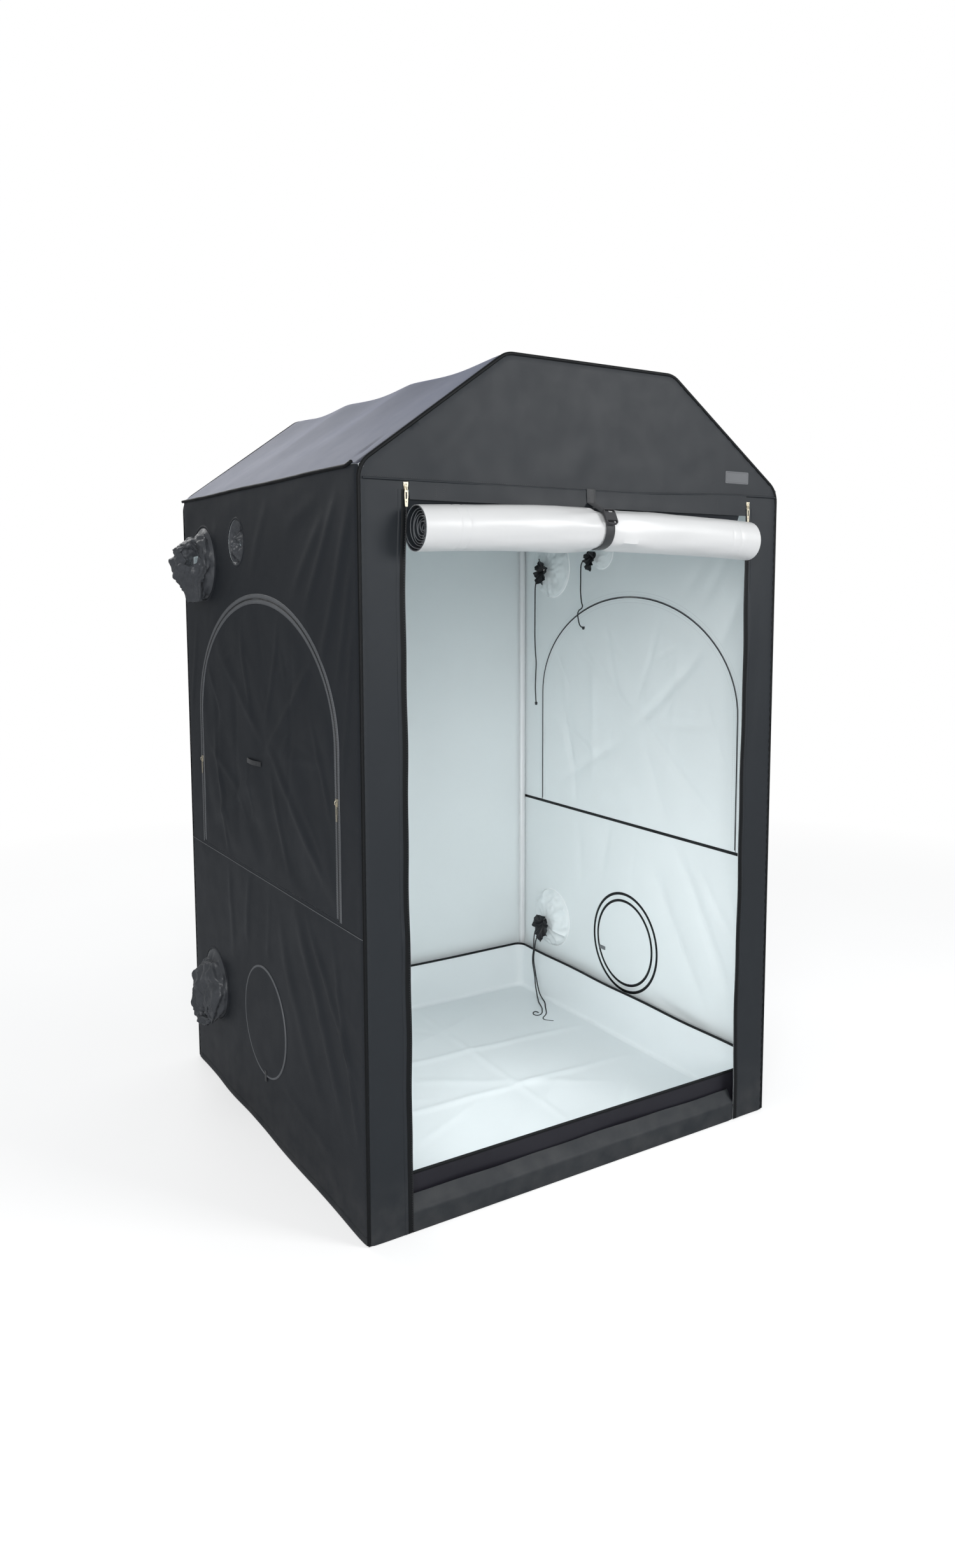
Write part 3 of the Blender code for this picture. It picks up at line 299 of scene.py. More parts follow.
def cloth(name, colour, roughness, weave_size, weave_reach, vary=0.12, rumple=0.0012, rumple_size=14,
          sheen=0.0, sheen_tint=(1, 1, 1), specular=0.5, dust=0.0, uneven=0.07, wrinkle=0.0):
    """Woven or coated cloth: threads, soft rumples, fine wrinkles, uneven tone, and dust near its foot."""
    g = Graph(name)
    tone = g.mix(g.range(g.noise(5.0, 4.0), 0, 1), scaled(colour, 1 - vary), scaled(colour, 1 + vary))
    tone = g.mix(g.range(g.noise(900.0, 1.0), 0, 0.35, 0.45, 0.75), tone, scaled(colour, 1 + 3 * vary))
    if dust:
        height = g.add("ShaderNodeSeparateXYZ", {"Vector": g.place}).outputs["Z"]
        near = g.range(height, dust, 0, 0.0, DUST_TOP)
        tone = g.mix(g.math("MULTIPLY", near, g.range(g.noise(22.0, 5.0), 0, 1)), tone, DUST)
    heights = [(g.noise(rumple_size, Distortion=0.6), rumple), (g.weave(weave_size), weave_reach)]
    if wrinkle:
        heights.insert(0, (g.noise(5.0, kind="RIDGED_MULTIFRACTAL", Distortion=0.8), wrinkle))
    g.bump(*heights)
    g.set(Sheen_Weight=sheen, Sheen_Roughness=0.45, Sheen_Tint=(*sheen_tint, 1), Specular_IOR_Level=specular,
          Base_Color=tone, Roughness=g.range(g.noise(17.0), roughness - uneven, roughness + uneven))
    return g.material


def shiny(name, colour, roughness, metallic=0.0, grain=0.00006, wear=0.15, **sockets):
    """Moulded, coated or plated stuff: fine grain and slightly uneven gloss."""
    g = Graph(name)
    tone = g.mix(g.range(g.noise(60.0, 4.0), 0, 1), scaled(colour, 1 - wear), scaled(colour, 1 + wear))
    gloss = g.range(g.noise(120.0), roughness * 0.8, roughness * 1.3)
    g.set(Metallic=metallic, Base_Color=tone, Roughness=gloss, **sockets)
    g.bump((g.noise(260.0, 2.0), grain))
    return g.material


WORN = {"vary": 0.05, "rumple": 0.0004, "rumple_size": 9, "dust": 0.15, "uneven": 0.03, "wrinkle": 0.0010}
canvas = cloth("black_canvas", (0.0140, 0.0180, 0.0230), 0.56, 0.0011, 0.00005, sheen=0.02, **WORN)
# Side canvas: the same black canvas, made a little lighter and bluer as painted light on the side walls,
# which the lamps leave darker
side_canvas = cloth("side_canvas", (0.0150, 0.0185, 0.0245), 0.52, 0.0011, 0.00005, specular=0.46, **WORN)
# Roof canvas: the same black canvas, with a bluer base colour and a blue sheen tint that paint the bluish
# reflection along the slopes
roof_canvas = cloth("roof_canvas", (0.0125, 0.0135, 0.0300), 0.50, 0.0011, 0.00005, vary=0.04, rumple=0.0004,
                    rumple_size=6, sheen=0.30, sheen_tint=(0.62, 0.70, 1.0), specular=0.34, uneven=0.02)
tray_canvas = cloth("tray_canvas", (0.0160, 0.0150, 0.0220), 0.52, 0.0011, 0.00004, vary=0.05, rumple=0.0004,
                    specular=0.45, uneven=0.03)
lining = cloth("white_lining", (0.83, 0.885, 0.895), 0.42, 0.0022, 0.000004, vary=0.010, rumple=0.0012,
               rumple_size=6, uneven=0.01)
door_lining = cloth("door_lining", (0.79, 0.795, 0.795), 0.34, 0.0022, 0.000004, vary=0.010, rumple=0.0008,
                    uneven=0.01)
tray_sheet = cloth("tray_sheet", (0.82, 0.870, 0.885), 0.38, 0.0030, 0.000004, vary=0.010, rumple=0.0010,
                   rumple_size=6, uneven=0.01)
nylon = cloth("black_nylon", (0.072, 0.077, 0.086), 0.36, 0.0009, 0.00002, rumple=0.0010, rumple_size=24,
              sheen=0.05)
frill_cloth = cloth("black_frill", (0.010, 0.011, 0.013), 0.42, 0.0009, 0.00004, rumple=0.0006, specular=0.35)
# Black binding; on the gable and eave piping its deep black also stands partly for painted shade of the seam
# groove
binding = cloth("black_binding", (0.005, 0.006, 0.007), 0.55, 0.0008, 0.00006, rumple=0.0002, specular=0.25)
# Zip tape: a grey-black tape whose colour is lifted to light grey, partly its own tone and partly painted
# satin sheen
zip_tape = cloth("zip_tape", (0.150, 0.157, 0.168), 0.46, 0.0010, 0.00015, rumple=0.0003, sheen=0.05)
zip_coil = shiny("zip_coil", (0.018, 0.019, 0.021), 0.35)
thread = shiny("thread", (0.055, 0.057, 0.062), 0.6)
pale_thread = shiny("pale_thread", (0.55, 0.58, 0.60), 0.6)
webbing = cloth("dark_webbing", (0.040, 0.042, 0.045), 0.48, 0.0024, 0.00035, rumple=0.0003, sheen=0.1)
rope = cloth("black_cord", (0.018, 0.020, 0.022), 0.72, 0.0012, 0.00025, rumple=0.0001)
screen = cloth("vent_screen", (0.022, 0.023, 0.025), 0.55, 0.0024, 0.00060, rumple=0.0004)
steel = shiny("white_coated_steel", (0.80, 0.81, 0.82), 0.34, Coat_Weight=0.3, Coat_Roughness=0.2)
nickel = shiny("pale_gold_zip", (0.80, 0.73, 0.56), 0.24, metallic=1.0, wear=0.10)
plastic = shiny("dark_plastic", (0.035, 0.036, 0.040), 0.32, grain=0.00012)

FINISH = {"white_coated_steel": steel, "nickel_zip": nickel, "dark_plastic": plastic}
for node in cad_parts.values():
    for place in node.material_slots:
        kind = place.material.name.split(".")[0] if place.material else None
        if kind in FINISH:
            place.material = FINISH[kind]


# Pieces

def finish_piece(obj, body):
    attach(obj, body)
    return obj


def make(name, verts, faces, material, body="tent", sharp=50):
    """A mesh piece that rides on a body, with its faces turned outward."""
    mesh = bpy.data.meshes.new(name)
    mesh.from_pydata([tuple(v) for v in verts], [], [tuple(f) for f in faces])
    made = bmesh.new()
    made.from_mesh(mesh)
    bmesh.ops.recalc_face_normals(made, faces=made.faces)
    made.to_mesh(mesh)
    made.free()
    mesh.materials.append(material)
    mesh.shade_smooth()
    mesh.set_sharp_from_angle(angle=math.radians(sharp))
    obj = bpy.data.objects.new(name, mesh)
    bpy.context.scene.collection.objects.link(obj)
    return finish_piece(obj, body)


def within(points, loops):
    """Whether each point lies inside the first loop and outside the others."""
    found = inside(points, loops[0])
    for loop in loops[1:]:
        found &= ~inside(points, loop)
    return found


def fill(outline, holes, step):
    """Points and triangles that fill the outline less its holes, and the edges round them."""
    loops = [divided(line, step) for line in (outline, *holes)]
    low, high = loops[0].min(axis=0), loops[0].max(axis=0)
    xs = np.arange(low[0] + step / 2, high[0], step)
    ys = np.arange(low[1] + step / 2, high[1], step * 0.87)
    grid_x = xs[None, :] + (np.arange(len(ys)) % 2)[:, None] * step / 2
    grid = np.column_stack([grid_x.ravel(), np.repeat(ys, len(xs))])
    grid = grid[within(grid, loops)]
    edges = []
    start = 0
    for loop in loops:
        grid = grid[distance(grid, loop) > 0.45 * step]
        ends = range(start, start + len(loop))
        edges += zip(ends, [*ends[1:], start])
        start += len(loop)
    points = np.concatenate([*loops, grid])
    made = geometry.delaunay_2d_cdt([Vector(p) for p in points], edges, [], 0, 1e-7)
    uv = np.array([tuple(v) for v in made[0]])
    tris = np.array(made[2])
    tris = tris[within(uv[tris].mean(axis=1), loops)]
    pairs = np.sort(np.concatenate([tris[:, [0, 1]], tris[:, [1, 2]], tris[:, [2, 0]]]), axis=1)
    unique, counts = np.unique(pairs, axis=0, return_counts=True)
    return uv, tris, unique[counts == 1]


class Panel:
    """Cloth that fills an outline of a wall. place(uv, out) maps it to the tent."""

    def __init__(self, outline, holes, place, relief, step=WALL_STEP):
        self.uv, self.tris, self.rim = fill(outline, holes, step)
        self.place, self.relief = place, relief
        self.out = relief(self.uv)

    def layer(self, name, heights, material, body="tent", slot="canvas"):
        count = len(self.uv)
        skins = [self.place(self.uv, self.out + height) for height in heights]
        faces = [tuple(t) for t in self.tris] + [tuple(t + count) for t in self.tris[:, ::-1]]
        faces += [(a, b, b + count, a + count) for a, b in self.rim]
        return make(name, np.concatenate(skins), faces, material, body)

    def area(self):
        a, b, c = (self.uv[self.tris[:, n]] for n in range(3))
        return float(np.abs(np.cross(b - a, c - a)).sum() / 2)


def skin(rows, closed_along):
    """Faces over rows of points, each row a ring."""
    count, around = len(rows), len(rows[0])
    faces = []
    for i in range(count if closed_along else count - 1):
        j = (i + 1) % count
        for n in range(around):
            m = (n + 1) % around
            faces.append((i * around + n, i * around + m, j * around + m, j * around + n))
    if not closed_along:
        faces.append(tuple(range(around))[::-1])
        faces.append(tuple((count - 1) * around + n for n in range(around)))
    return faces


def band(name, path, section, place, relief, material, closed=False, body="tent"):
    """A strip along a path on a wall. Its section is (to the left, out) points in a ring."""
    path = divided(path, 0.012, closed)
    section = np.array(section)
    uv = path[:, None, :] + normals_of(path, closed)[:, None, :] * section[None, :, :1]
    flat = uv.reshape(-1, 2)
    out = relief(flat) + np.tile(section[:, 1], len(path))
    return make(name, place(flat, out), skin(uv, closed), material, body)


def strip(half, thick, shift=0.0, base=-0.0004):
    """A flat tape's section, with its upper edges eased."""
    ease = min(half, thick) * 0.5
    points = ((-half, base), (half, base), (half, thick - ease), (half - ease, thick),
              (-half + ease, thick), (-half, thick - ease))
    return [(x + shift, z) for x, z in points]


def bead(radius, shift=0.0, sides=10, sink=0.3):
    """A piping's round section, sunk a little into the cloth."""
    turns = np.linspace(0, math.tau, sides, endpoint=False)
    return [(shift + radius * math.cos(t), radius * (1 - sink) + radius * math.sin(t)) for t in turns]


def stitches(name, path, place, relief, material, shift=0.0, pitch=0.0055, length=0.0038, closed=False,
             body="tent"):
    """A row of threads that stand a little out of the cloth, each a small long lozenge."""
    width, height = 0.0006, 0.0005
    path = divided(path, 0.006, closed)
    if closed:
        path = np.concatenate([path, path[:1]])
    path = path + normals_of(path) * shift
    lengths = lengths_of(path)
    count = max(1, int(lengths[-1] / pitch))
    middles = (np.arange(count) + 0.5) * lengths[-1] / count
    centre = points_at(path, lengths, middles)
    way = points_at(path, lengths, middles + 0.001) - points_at(path, lengths, middles - 0.001)
    way /= np.linalg.norm(way, axis=1)[:, None]
    side = np.column_stack([-way[:, 1], way[:, 0]])
    shape = ((-length / 2, 0, 0), (length / 2, 0, 0), (0, width, 0), (0, -width, 0),
             (0, 0, height), (0, 0, -height))
    flat = np.stack([centre + way * a + side * b for a, b, _ in shape], axis=1).reshape(-1, 2)
    out = np.tile([c for _, _, c in shape], count)
    corners = ((0, 2, 4), (2, 1, 4), (1, 3, 4), (3, 0, 4), (2, 0, 5), (1, 2, 5), (3, 1, 5), (0, 3, 5))
    faces = [tuple(6 * n + k for k in corner) for n in range(count) for corner in corners]
    return make(name, place(flat, relief(flat) + out), faces, material, body)


def tube(name, points, radius, material, sides=10, closed=False):
    """A round bar along points in space."""
    points = np.array(points, float)
    ways = directions(points, closed)
    side = np.cross(ways[0], (0.31, 0.57, 0.76))
    turns = np.linspace(0, math.tau, sides, endpoint=False)
    rows = []
    for point, way in zip(points, ways):
        side = side - (side @ way) * way
        side /= np.linalg.norm(side)
        other = np.cross(way, side)
        rows.append([point + radius * (math.cos(t) * side + math.sin(t) * other) for t in turns])
    return make(name, np.concatenate(rows), skin(rows, closed), material)


def through(points, step):
    """Points at even steps along a smooth curve through the given ones, and its length."""
    knots = [2 * points[0] - points[1], *points, 2 * points[-1] - points[-2]]
    fine = []
    for a, b, c, d in zip(knots, knots[1:], knots[2:], knots[3:]):
        for t in np.arange(0, 1, 1 / 24):
            fine.append((2 * b + (c - a) * t + (2 * a - 5 * b + 4 * c - d) * t ** 2
                         + (3 * b - a - 3 * c + d) * t ** 3) / 2)
    fine = np.array([*fine, knots[-2]])
    lengths = lengths_of(fine)
    at = np.linspace(0, lengths[-1], max(3, round(lengths[-1] / step)) + 1)
    return points_at(fine, lengths, at), float(lengths[-1])


def dress(obj, area=None, node=None):
    """Hides the node, if one is given: the CAD solid that the piece replaces."""
    if node:
        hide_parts(node)


def dress_both(panel, names, outside, node, body="tent"):
    """A panel's canvas, which replaces a CAD solid, and its lining."""
    dress(panel.layer(names[0], CANVAS, outside, body), panel.area(), node)
    dress(panel.layer(names[1], LINING, lining, body, "lining"), panel.area())


# Camera

camera = bpy.data.objects.new("camera", bpy.data.cameras.new("camera"))
bpy.context.scene.collection.objects.link(camera)
bpy.context.scene.camera = camera
VIEW_AZIMUTH, VIEW_FALL = math.radians(32.902), math.radians(-5.997)
look = Vector((math.sin(VIEW_AZIMUTH) * math.cos(VIEW_FALL),
               math.cos(VIEW_AZIMUTH) * math.cos(VIEW_FALL), math.sin(VIEW_FALL)))
camera.location = (-1.5739, -2.6798, 1.4325)
camera.rotation_euler = look.to_track_quat("-Z", "Y").to_euler()
camera.data.sensor_width = 36
camera.data.lens = 25.333
camera.data.shift_x = -0.0215
camera.data.shift_y = -0.0500

# Tie cords

CORD = 0.0040
# Each cord's far end and its route, in tenths of a millimetre
CORDS = {
    "upper": ("knot", (
        (5643, 4334, 14895), (5635, 4378, 14863), (5620, 4460, 14800), (5600, 4540, 14700),
        (5580, 4600, 14560), (5565, 4625, 14350), (5560, 4625, 14040), (5560, 4628, 13400),
        (5560, 4630, 12730), (5562, 4600, 12250), (5565, 4555, 11860), (5562, 4570, 11400),
        (5560, 4590, 10980), (5558, 4560, 10650), (5556, 4530, 10390),
    )),
    "small": ("knot", (
        (5642, 1590, 15340), (5620, 1700, 15320), (5600, 1810, 15290), (5580, 1920, 15240),
        (5565, 1990, 15130), (5560, 2010, 14950), (5560, 2010, 14600), (5560, 2010, 14260),
        (5586, 1994, 13940), (5612, 1975, 13805), (5590, 1990, 13725), (5532, 2028, 13675),
        (5497, 2050, 13610), (5487, 2057, 13520), (5500, 2050, 13400), (5520, 2037, 13270),
        (5555, 2012, 13165), (5615, 1975, 13110), (5673, 1937, 13091),
    )),
    "lower": ("bare", (
        (5638, 4265, 2671), (5620, 4370, 2600), (5600, 4470, 2520), (5580, 4560, 2400),
        (5565, 4620, 2220), (5560, 4650, 1980), (5560, 4670, 1650), (5560, 4720, 1400),
        (5560, 4720, 1150), (5560, 4660, 930), (5560, 4590, 700), (5560, 4560, 480),
        (5550, 4500, 280), (5520, 4400, 130), (5455, 4270, 65), (5350, 4070, 57),
        (5240, 3880, 57), (5100, 3550, 57), (5000, 3320, 57), (4880, 3130, 57),
        (4790, 3000, 57), (4660, 2880, 57), (4530, 2840, 57), (4450, 2900, 57),
        (4450, 3020, 57), (4520, 3140, 57), (4620, 3180, 57), (4670, 3100, 57),
        (4655, 3030, 57),
    )),
    "lower_tail": ("bare", (
        (5646, 4076, 2588), (5640, 4130, 2500), (5635, 4230, 2400), (5630, 4350, 2300),
        (5620, 4470, 2190), (5612, 4570, 2050), (5608, 4630, 1880), (5606, 4670, 1650),
        (5606, 4720, 1400), (5606, 4715, 1150), (5606, 4650, 930), (5600, 4570, 700),
        (5590, 4480, 480), (5575, 4380, 290), (5560, 4270, 150), (5535, 4120, 72),
        (5480, 3950, 57), (5400, 3740, 57), (5300, 3560, 57), (5180, 3380, 57),
        (5070, 3190, 57), (4960, 3000, 57), (4850, 2840, 57), (4700, 2700, 57),
        (4560, 2600, 57), (4490, 2490, 57), (4500, 2370, 57), (4580, 2270, 57),
        (4680, 2170, 57),
    )),
}


def cord(name, far_end, points):
    route, length = through(points, 0.004)
    curve = bpy.data.curves.new(name, "CURVE")
    curve.dimensions = "3D"
    curve.bevel_depth = CORD / 2
    curve.bevel_resolution = 3
    curve.use_fill_caps = True
    spline = curve.splines.new("POLY")
    spline.points.add(len(route) - 1)
    for point, place in zip(spline.points, route):
        point.co = (*place, 1)
    spline.use_smooth = True
    curve.materials.append(rope)
    obj = bpy.data.objects.new(name, curve)
    bpy.context.scene.collection.objects.link(obj)
    finish_piece(obj, "tent")
    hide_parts(name)
    end = []
    if far_end == "knot":
        turns = np.linspace(0, math.tau, 60, endpoint=False)
        size = CORD * 0.85
        knot = np.column_stack([np.sin(turns) + 2 * np.sin(2 * turns), np.sin(3 * turns) * 1.4,
                                np.cos(turns) - 2 * np.cos(2 * turns)]) * size * 0.42
        end = [tube(name + "_knot", route[-2] + knot, CORD * 0.42, rope, closed=True)]


for key, (far_end, points) in CORDS.items():
    cord("tie_cord_" + key, far_end, np.array(points) / 10000)


# Walls

def gable(inset, radius=GABLE_ROUND, foot=0.001):
    """An end wall's outline, drawn in from the tent's outside, from its bottom left corner."""
    pitch = math.atan2(RIDGE - EAVE, HALF - RIDGE_HALF)
    low = EAVE - inset * math.tan(math.pi / 4 - pitch / 2)
    top = RIDGE_HALF - inset * math.tan(pitch / 2)
    corners = ((-HALF + inset, foot), (-HALF + inset, low), (-top, RIDGE - inset),
               (top, RIDGE - inset), (HALF - inset, low), (HALF - inset, foot))
    size = radius - inset
    return rounded(corners, (0, size, size, size, size, 0))


def wrap(d, radius=CORNER_ROUND):
    """How far cloth falls back at this distance from an edge that it is pulled round."""
    short = np.clip(radius - d, 0, radius)
    return radius - np.sqrt(radius ** 2 - short ** 2)


def held(out):
    """Folds of cloth on its poles: they stand out freely, but sink hardly at all."""
    low, soft = -0.0010, 0.0010
    return low + (out - low + np.sqrt((out - low) ** 2 + soft ** 2)) / 2


def end_place(sign):
    return lambda uv, out: np.column_stack([uv[:, 0], sign * (HALF + out), uv[:, 1]])


def side_place(sign):
    return lambda uv, out: np.column_stack([sign * (HALF + out), uv[:, 0], uv[:, 1]])


def inner_place(sign):
    return lambda uv, out: side_place(sign)(uv, -out)


def raised(relief, by):
    return lambda p: relief(p) + by


def seen_inside(relief):
    """The relief of the lining's inner face."""
    return lambda p: CLOTH - relief(p)


def jamb_edge(sign):
    """The doorway's edge as it hangs: pulled outward at the left, in at the right's foot, with a waver."""
    z = np.linspace(0.001, DOORWAY_TOP, 80)
    pull = 0.0011 * np.sin(11 * z + sign) + 0.0007 * np.sin(29 * z + 2 * sign)
    if sign < 0:
        pull = pull + JAMB_LEAN * smoothstep(0.05, 1.25, z) * (1 - smoothstep(1.50, 1.62, z))
    else:
        pull = pull - JAMB_LEAN * (1 - smoothstep(0.0, 1.30, z))
    pull = pull * smoothstep(0.10, 0.20, z)
    return np.column_stack([sign * (DOORWAY_HALF + pull), z])


OUTER_GABLE = np.array(gable(0.0, foot=-0.2))


def front_relief(p):
    edge = distance(p, OUTER_GABLE, closed=False)
    out = waves(p, 0.34, 0.0012, 3)
    out += creases(p, 9, 31, (-0.45, 1.72, 0.45, 1.90), 12, 30, 0.30, 0.022, 0.0026)
    out += creases(p, 6, 33, (-0.58, 0.1, -0.50, 1.5), 86, 12, 0.34, 0.010, 0.0022)
    out += creases(p, 6, 34, (0.50, 0.1, 0.58, 1.5), 94, 12, 0.34, 0.010, 0.0022)
    above = smoothstep(1.60, 1.66, p[:, 1])
    beside = smoothstep(0.0, 0.02, np.abs(p[:, 0]) - DOORWAY_HALF)
    return held(out) * smoothstep(0.0, 0.05, edge) * (above + (1 - above) * beside) - wrap(edge)


def back_relief(p):
    edge = distance(p, OUTER_GABLE, closed=False)
    out = waves(p, 0.45, 0.0030, 5, stretch=(1, 2.2))
    out += creases(p, 14, 51, (-0.45, 0.3, 0.45, 1.6), 88, 14, 0.55, 0.030, 0.0024)
    out += creases(p, 6, 52, (-0.45, 0.2, 0.45, 1.7), 40, 60, 0.35, 0.020, 0.0018)
    return held(out) * smoothstep(0.0, 0.07, edge) - wrap(edge)


front = Panel([*gable(CORNER_INSET), *jamb_edge(1), *jamb_edge(-1)[::-1]], (), end_place(-1), front_relief)
back = Panel(gable(CORNER_INSET), (), end_place(1), back_relief, step=0.014)


def door_outline(grow, foot=SEAM):
    """The side door's outline, from its front bottom corner over its arch, as (y, z)."""
    half, crown = DOOR_HALF + grow, DOOR_TOP - DOOR_SPRING + grow
    turns = np.linspace(0, math.pi, 49)
    arch = np.column_stack([-half * np.cos(turns), DOOR_SPRING + crown * np.sin(turns)])
    return np.concatenate([[(-half, foot)], arch, [(half, foot)]])


ZIP_LINE = door_outline(0)
DIAGONALS = (
    ((-0.56, 1.62), (-0.36, 1.22), 0.020, 0.0042), ((-0.50, 1.64), (-0.30, 1.38), 0.016, 0.0032),
    ((-0.57, 1.50), (-0.46, 1.20), 0.014, 0.0028), ((-0.44, 1.60), (-0.22, 1.42), 0.020, 0.0030),
    ((-0.57, 1.36), (-0.49, 1.02), 0.012, 0.0026), ((-0.40, 1.66), (-0.20, 1.56), 0.024, 0.0024),
    ((0.30, 1.62), (0.52, 1.40), 0.018, 0.0026), ((0.50, 1.35), (0.57, 1.05), 0.012, 0.0022),
    ((0.15, 1.47), (0.36, 1.36), 0.014, 0.0020), ((-0.10, 1.66), (0.05, 1.46), 0.022, 0.0022),
    ((-0.55, 0.64), (-0.30, 0.40), 0.030, 0.0018), ((0.20, 0.62), (0.52, 0.48), 0.030, 0.0018),
    ((-0.50, 0.30), (-0.30, 0.10), 0.026, 0.0016), ((0.18, 0.20), (0.34, 0.06), 0.022, 0.0016),
    ((-0.20, 0.67), (-0.50, 0.22), 0.024, 0.0064), ((-0.30, 0.66), (-0.55, 0.34), 0.014, 0.0046),
    ((-0.10, 0.62), (-0.36, 0.20), 0.026, 0.0050), ((-0.44, 0.64), (-0.56, 0.20), 0.012, 0.0040),
    ((-0.05, 0.18), (-0.46, 0.13), 0.016, 0.0030), ((0.28, 0.68), (0.25, 0.42), 0.018, 0.0036),
    ((0.10, 0.69), (0.13, 0.48), 0.014, 0.0034), ((-0.04, 0.68), (-0.02, 0.44), 0.014, 0.0030),
)
DOOR_FOLDS = (
    ((-0.42, 0.76), (-0.05, 1.06), 0.022, 0.0046), ((-0.02, 1.04), (0.30, 1.28), 0.022, 0.0040),
    ((-0.34, 1.28), (-0.02, 1.00), 0.020, 0.0044), ((0.02, 0.98), (0.40, 0.76), 0.022, 0.0040),
    ((-0.20, 0.74), (-0.06, 0.98), 0.018, 0.0030), ((0.06, 1.10), (0.12, 1.34), 0.018, 0.0030),
    ((-0.14, 1.36), (-0.04, 1.10), 0.016, 0.0026), ((0.16, 0.90), (0.42, 1.00), 0.018, 0.0028),
    ((-0.40, 1.06), (-0.16, 1.02), 0.018, 0.0026), ((0.24, 0.74), (0.34, 0.96), 0.016, 0.0022),
    ((-0.44, 0.90), (-0.34, 1.14), 0.014, 0.0024), ((0.30, 1.10), (0.42, 1.24), 0.014, 0.0022),
)


def wall_relief(p):
    """Folds of a side wall. They die out at its edges, along the zip and round the ports."""
    edge = np.minimum(HALF - np.abs(p[:, 0]), EAVE - p[:, 1])
    zip_near = distance(p, ZIP_LINE, closed=False)
    seam_near = np.abs(p[:, 1] - SEAM)
    out = waves(p, 0.30, 0.0016, 7)
    for fold in DIAGONALS:
        out += crease(p, *fold)
    out += creases(p, 10, 71, (-0.5, 0.1, 0.5, 0.6), 20, 80, 0.25, 0.022, 0.0016)
    fade = smoothstep(0, 0.05, edge) * smoothstep(0.0, 0.035, zip_near) * smoothstep(0, 0.03, seam_near)
    for y, z, radius in PORTS.values():
        fade *= smoothstep(0, 0.04, np.hypot(p[:, 0] - y, p[:, 1] - z) - radius)
    fade *= smoothstep(0.150, 0.200, np.hypot(p[:, 0] - VENT[0], p[:, 1] - VENT[1]))
    return held(out) * fade - wrap(HALF - np.abs(p[:, 0]))


def door_relief(p):
    zip_near = distance(p, ZIP_LINE, closed=True)
    out = waves(p, 0.16, 0.0016, 9)
    for a, b, width, height in DOOR_FOLDS:
        out += crease(p, a, b, width * 0.8, height)
    out += creases(p, 26, 91, (-0.38, 0.78, 0.38, 1.30), 0, 90, 0.14, 0.009, 0.0016)
    out += creases(p, 7, 93, (-0.30, 0.80, 0.34, 1.20), 84, 16, 0.42, 0.016, 0.0042)
    return out * smoothstep(0, 0.05, zip_near)


DOOR_SPLIT = 0.0004
HINGE_CLEAR = 0.0060
WALL_FACE = HALF - CORNER_INSET
holes = [door_outline(DOOR_SPLIT, SEAM - DOOR_SPLIT)]
holes += [circle((y, z), radius, 48) for y, z, radius in PORTS.values()]
for side, sign in SIDES.items():
    wall = Panel(box(-WALL_FACE, 0.001, WALL_FACE, EAVE - 0.003), holes, side_place(sign), wall_relief)
    door = Panel(door_outline(-DOOR_SPLIT, SEAM + DOOR_SPLIT), (), side_place(sign), door_relief, step=0.010)
    poles = [f"leg_front_{side}", f"leg_back_{side}", f"eave_rail_{side}", f"base_rail_{side}"]
    dress_both(wall, (f"{side}_wall_canvas", f"{side}_wall_lining"), side_canvas,
               f"{side}_wall")
    dress_both(door, (f"{side}_door_canvas", f"{side}_door_lining"), side_canvas,
               f"side_door_{side}", f"{side}_door")
for name, panel, poles in (("front_wall", front, ["leg_front_left", "leg_front_right", "gable_arch_front"]),
                           ("back_wall", back, ["gable_arch_back"])):
    dress_both(panel, (f"{name}_canvas", f"{name}_lining"), canvas, name)

# Roof: one sheet over both slopes and the flat top

arch = [p for p in gable(0.0, foot=0.0)[1:-1] if p[1] > EAVE + 0.03]
ROOF_LINE = divided([(-HALF, EAVE), *arch, (HALF, EAVE)], 0.004, closed=False)
ROOF_AT = lengths_of(ROOF_LINE)
ROOF_OUT = normals_of(ROOF_LINE)


def roof_place(uv, out):
    spot = points_at(ROOF_LINE, ROOF_AT, uv[:, 0]) + points_at(ROOF_OUT, ROOF_AT, uv[:, 0]) * out[:, None]
    return np.column_stack([spot[:, 0], uv[:, 1], spot[:, 1]])


def roof_relief(p):
    """The cloth hangs a little between the gables and the cross bars, most along the ridges."""
    height = np.interp(p[:, 0], ROOF_AT, ROOF_LINE[:, 1])
    stays = np.array([-HALF, *BARS, HALF])
    span = np.clip(np.searchsorted(stays, p[:, 1]) - 1, 0, len(stays) - 2)
    t = (p[:, 1] - stays[span]) / (stays[span + 1] - stays[span])
    sag = -0.0080 * np.sin(math.pi * np.clip(t, 0, 1)) ** 1.2
    edge = np.minimum(HALF - np.abs(p[:, 1]), np.minimum(p[:, 0], ROOF_AT[-1] - p[:, 0]))
    out = waves(p, 0.30, 0.0008, 11) + creases(p, 5, 111, (0.05, -0.5, 0.5, 0.5), 70, 25, 0.3, 0.018, 0.0009)
    out += crease(p, (0.03, -0.54), (0.12, -0.53), 0.008, -0.0035)
    out = out * smoothstep(0, 0.05, edge) + sag * smoothstep(EAVE + 0.02, RIDGE - 0.02, height)
    return out - wrap(HALF - np.abs(p[:, 1]))


roof = Panel(box(0, -WALL_FACE, ROOF_AT[-1], WALL_FACE), (), roof_place, roof_relief, step=0.013)
dress_both(roof, ("roof_cover_canvas", "roof_lining"), roof_canvas,
           "roof_cover")


# Floor, sill and tray

def floor_place(uv, out):
    return np.column_stack([uv, out])


def flat_relief(p):
    return np.zeros(len(p))


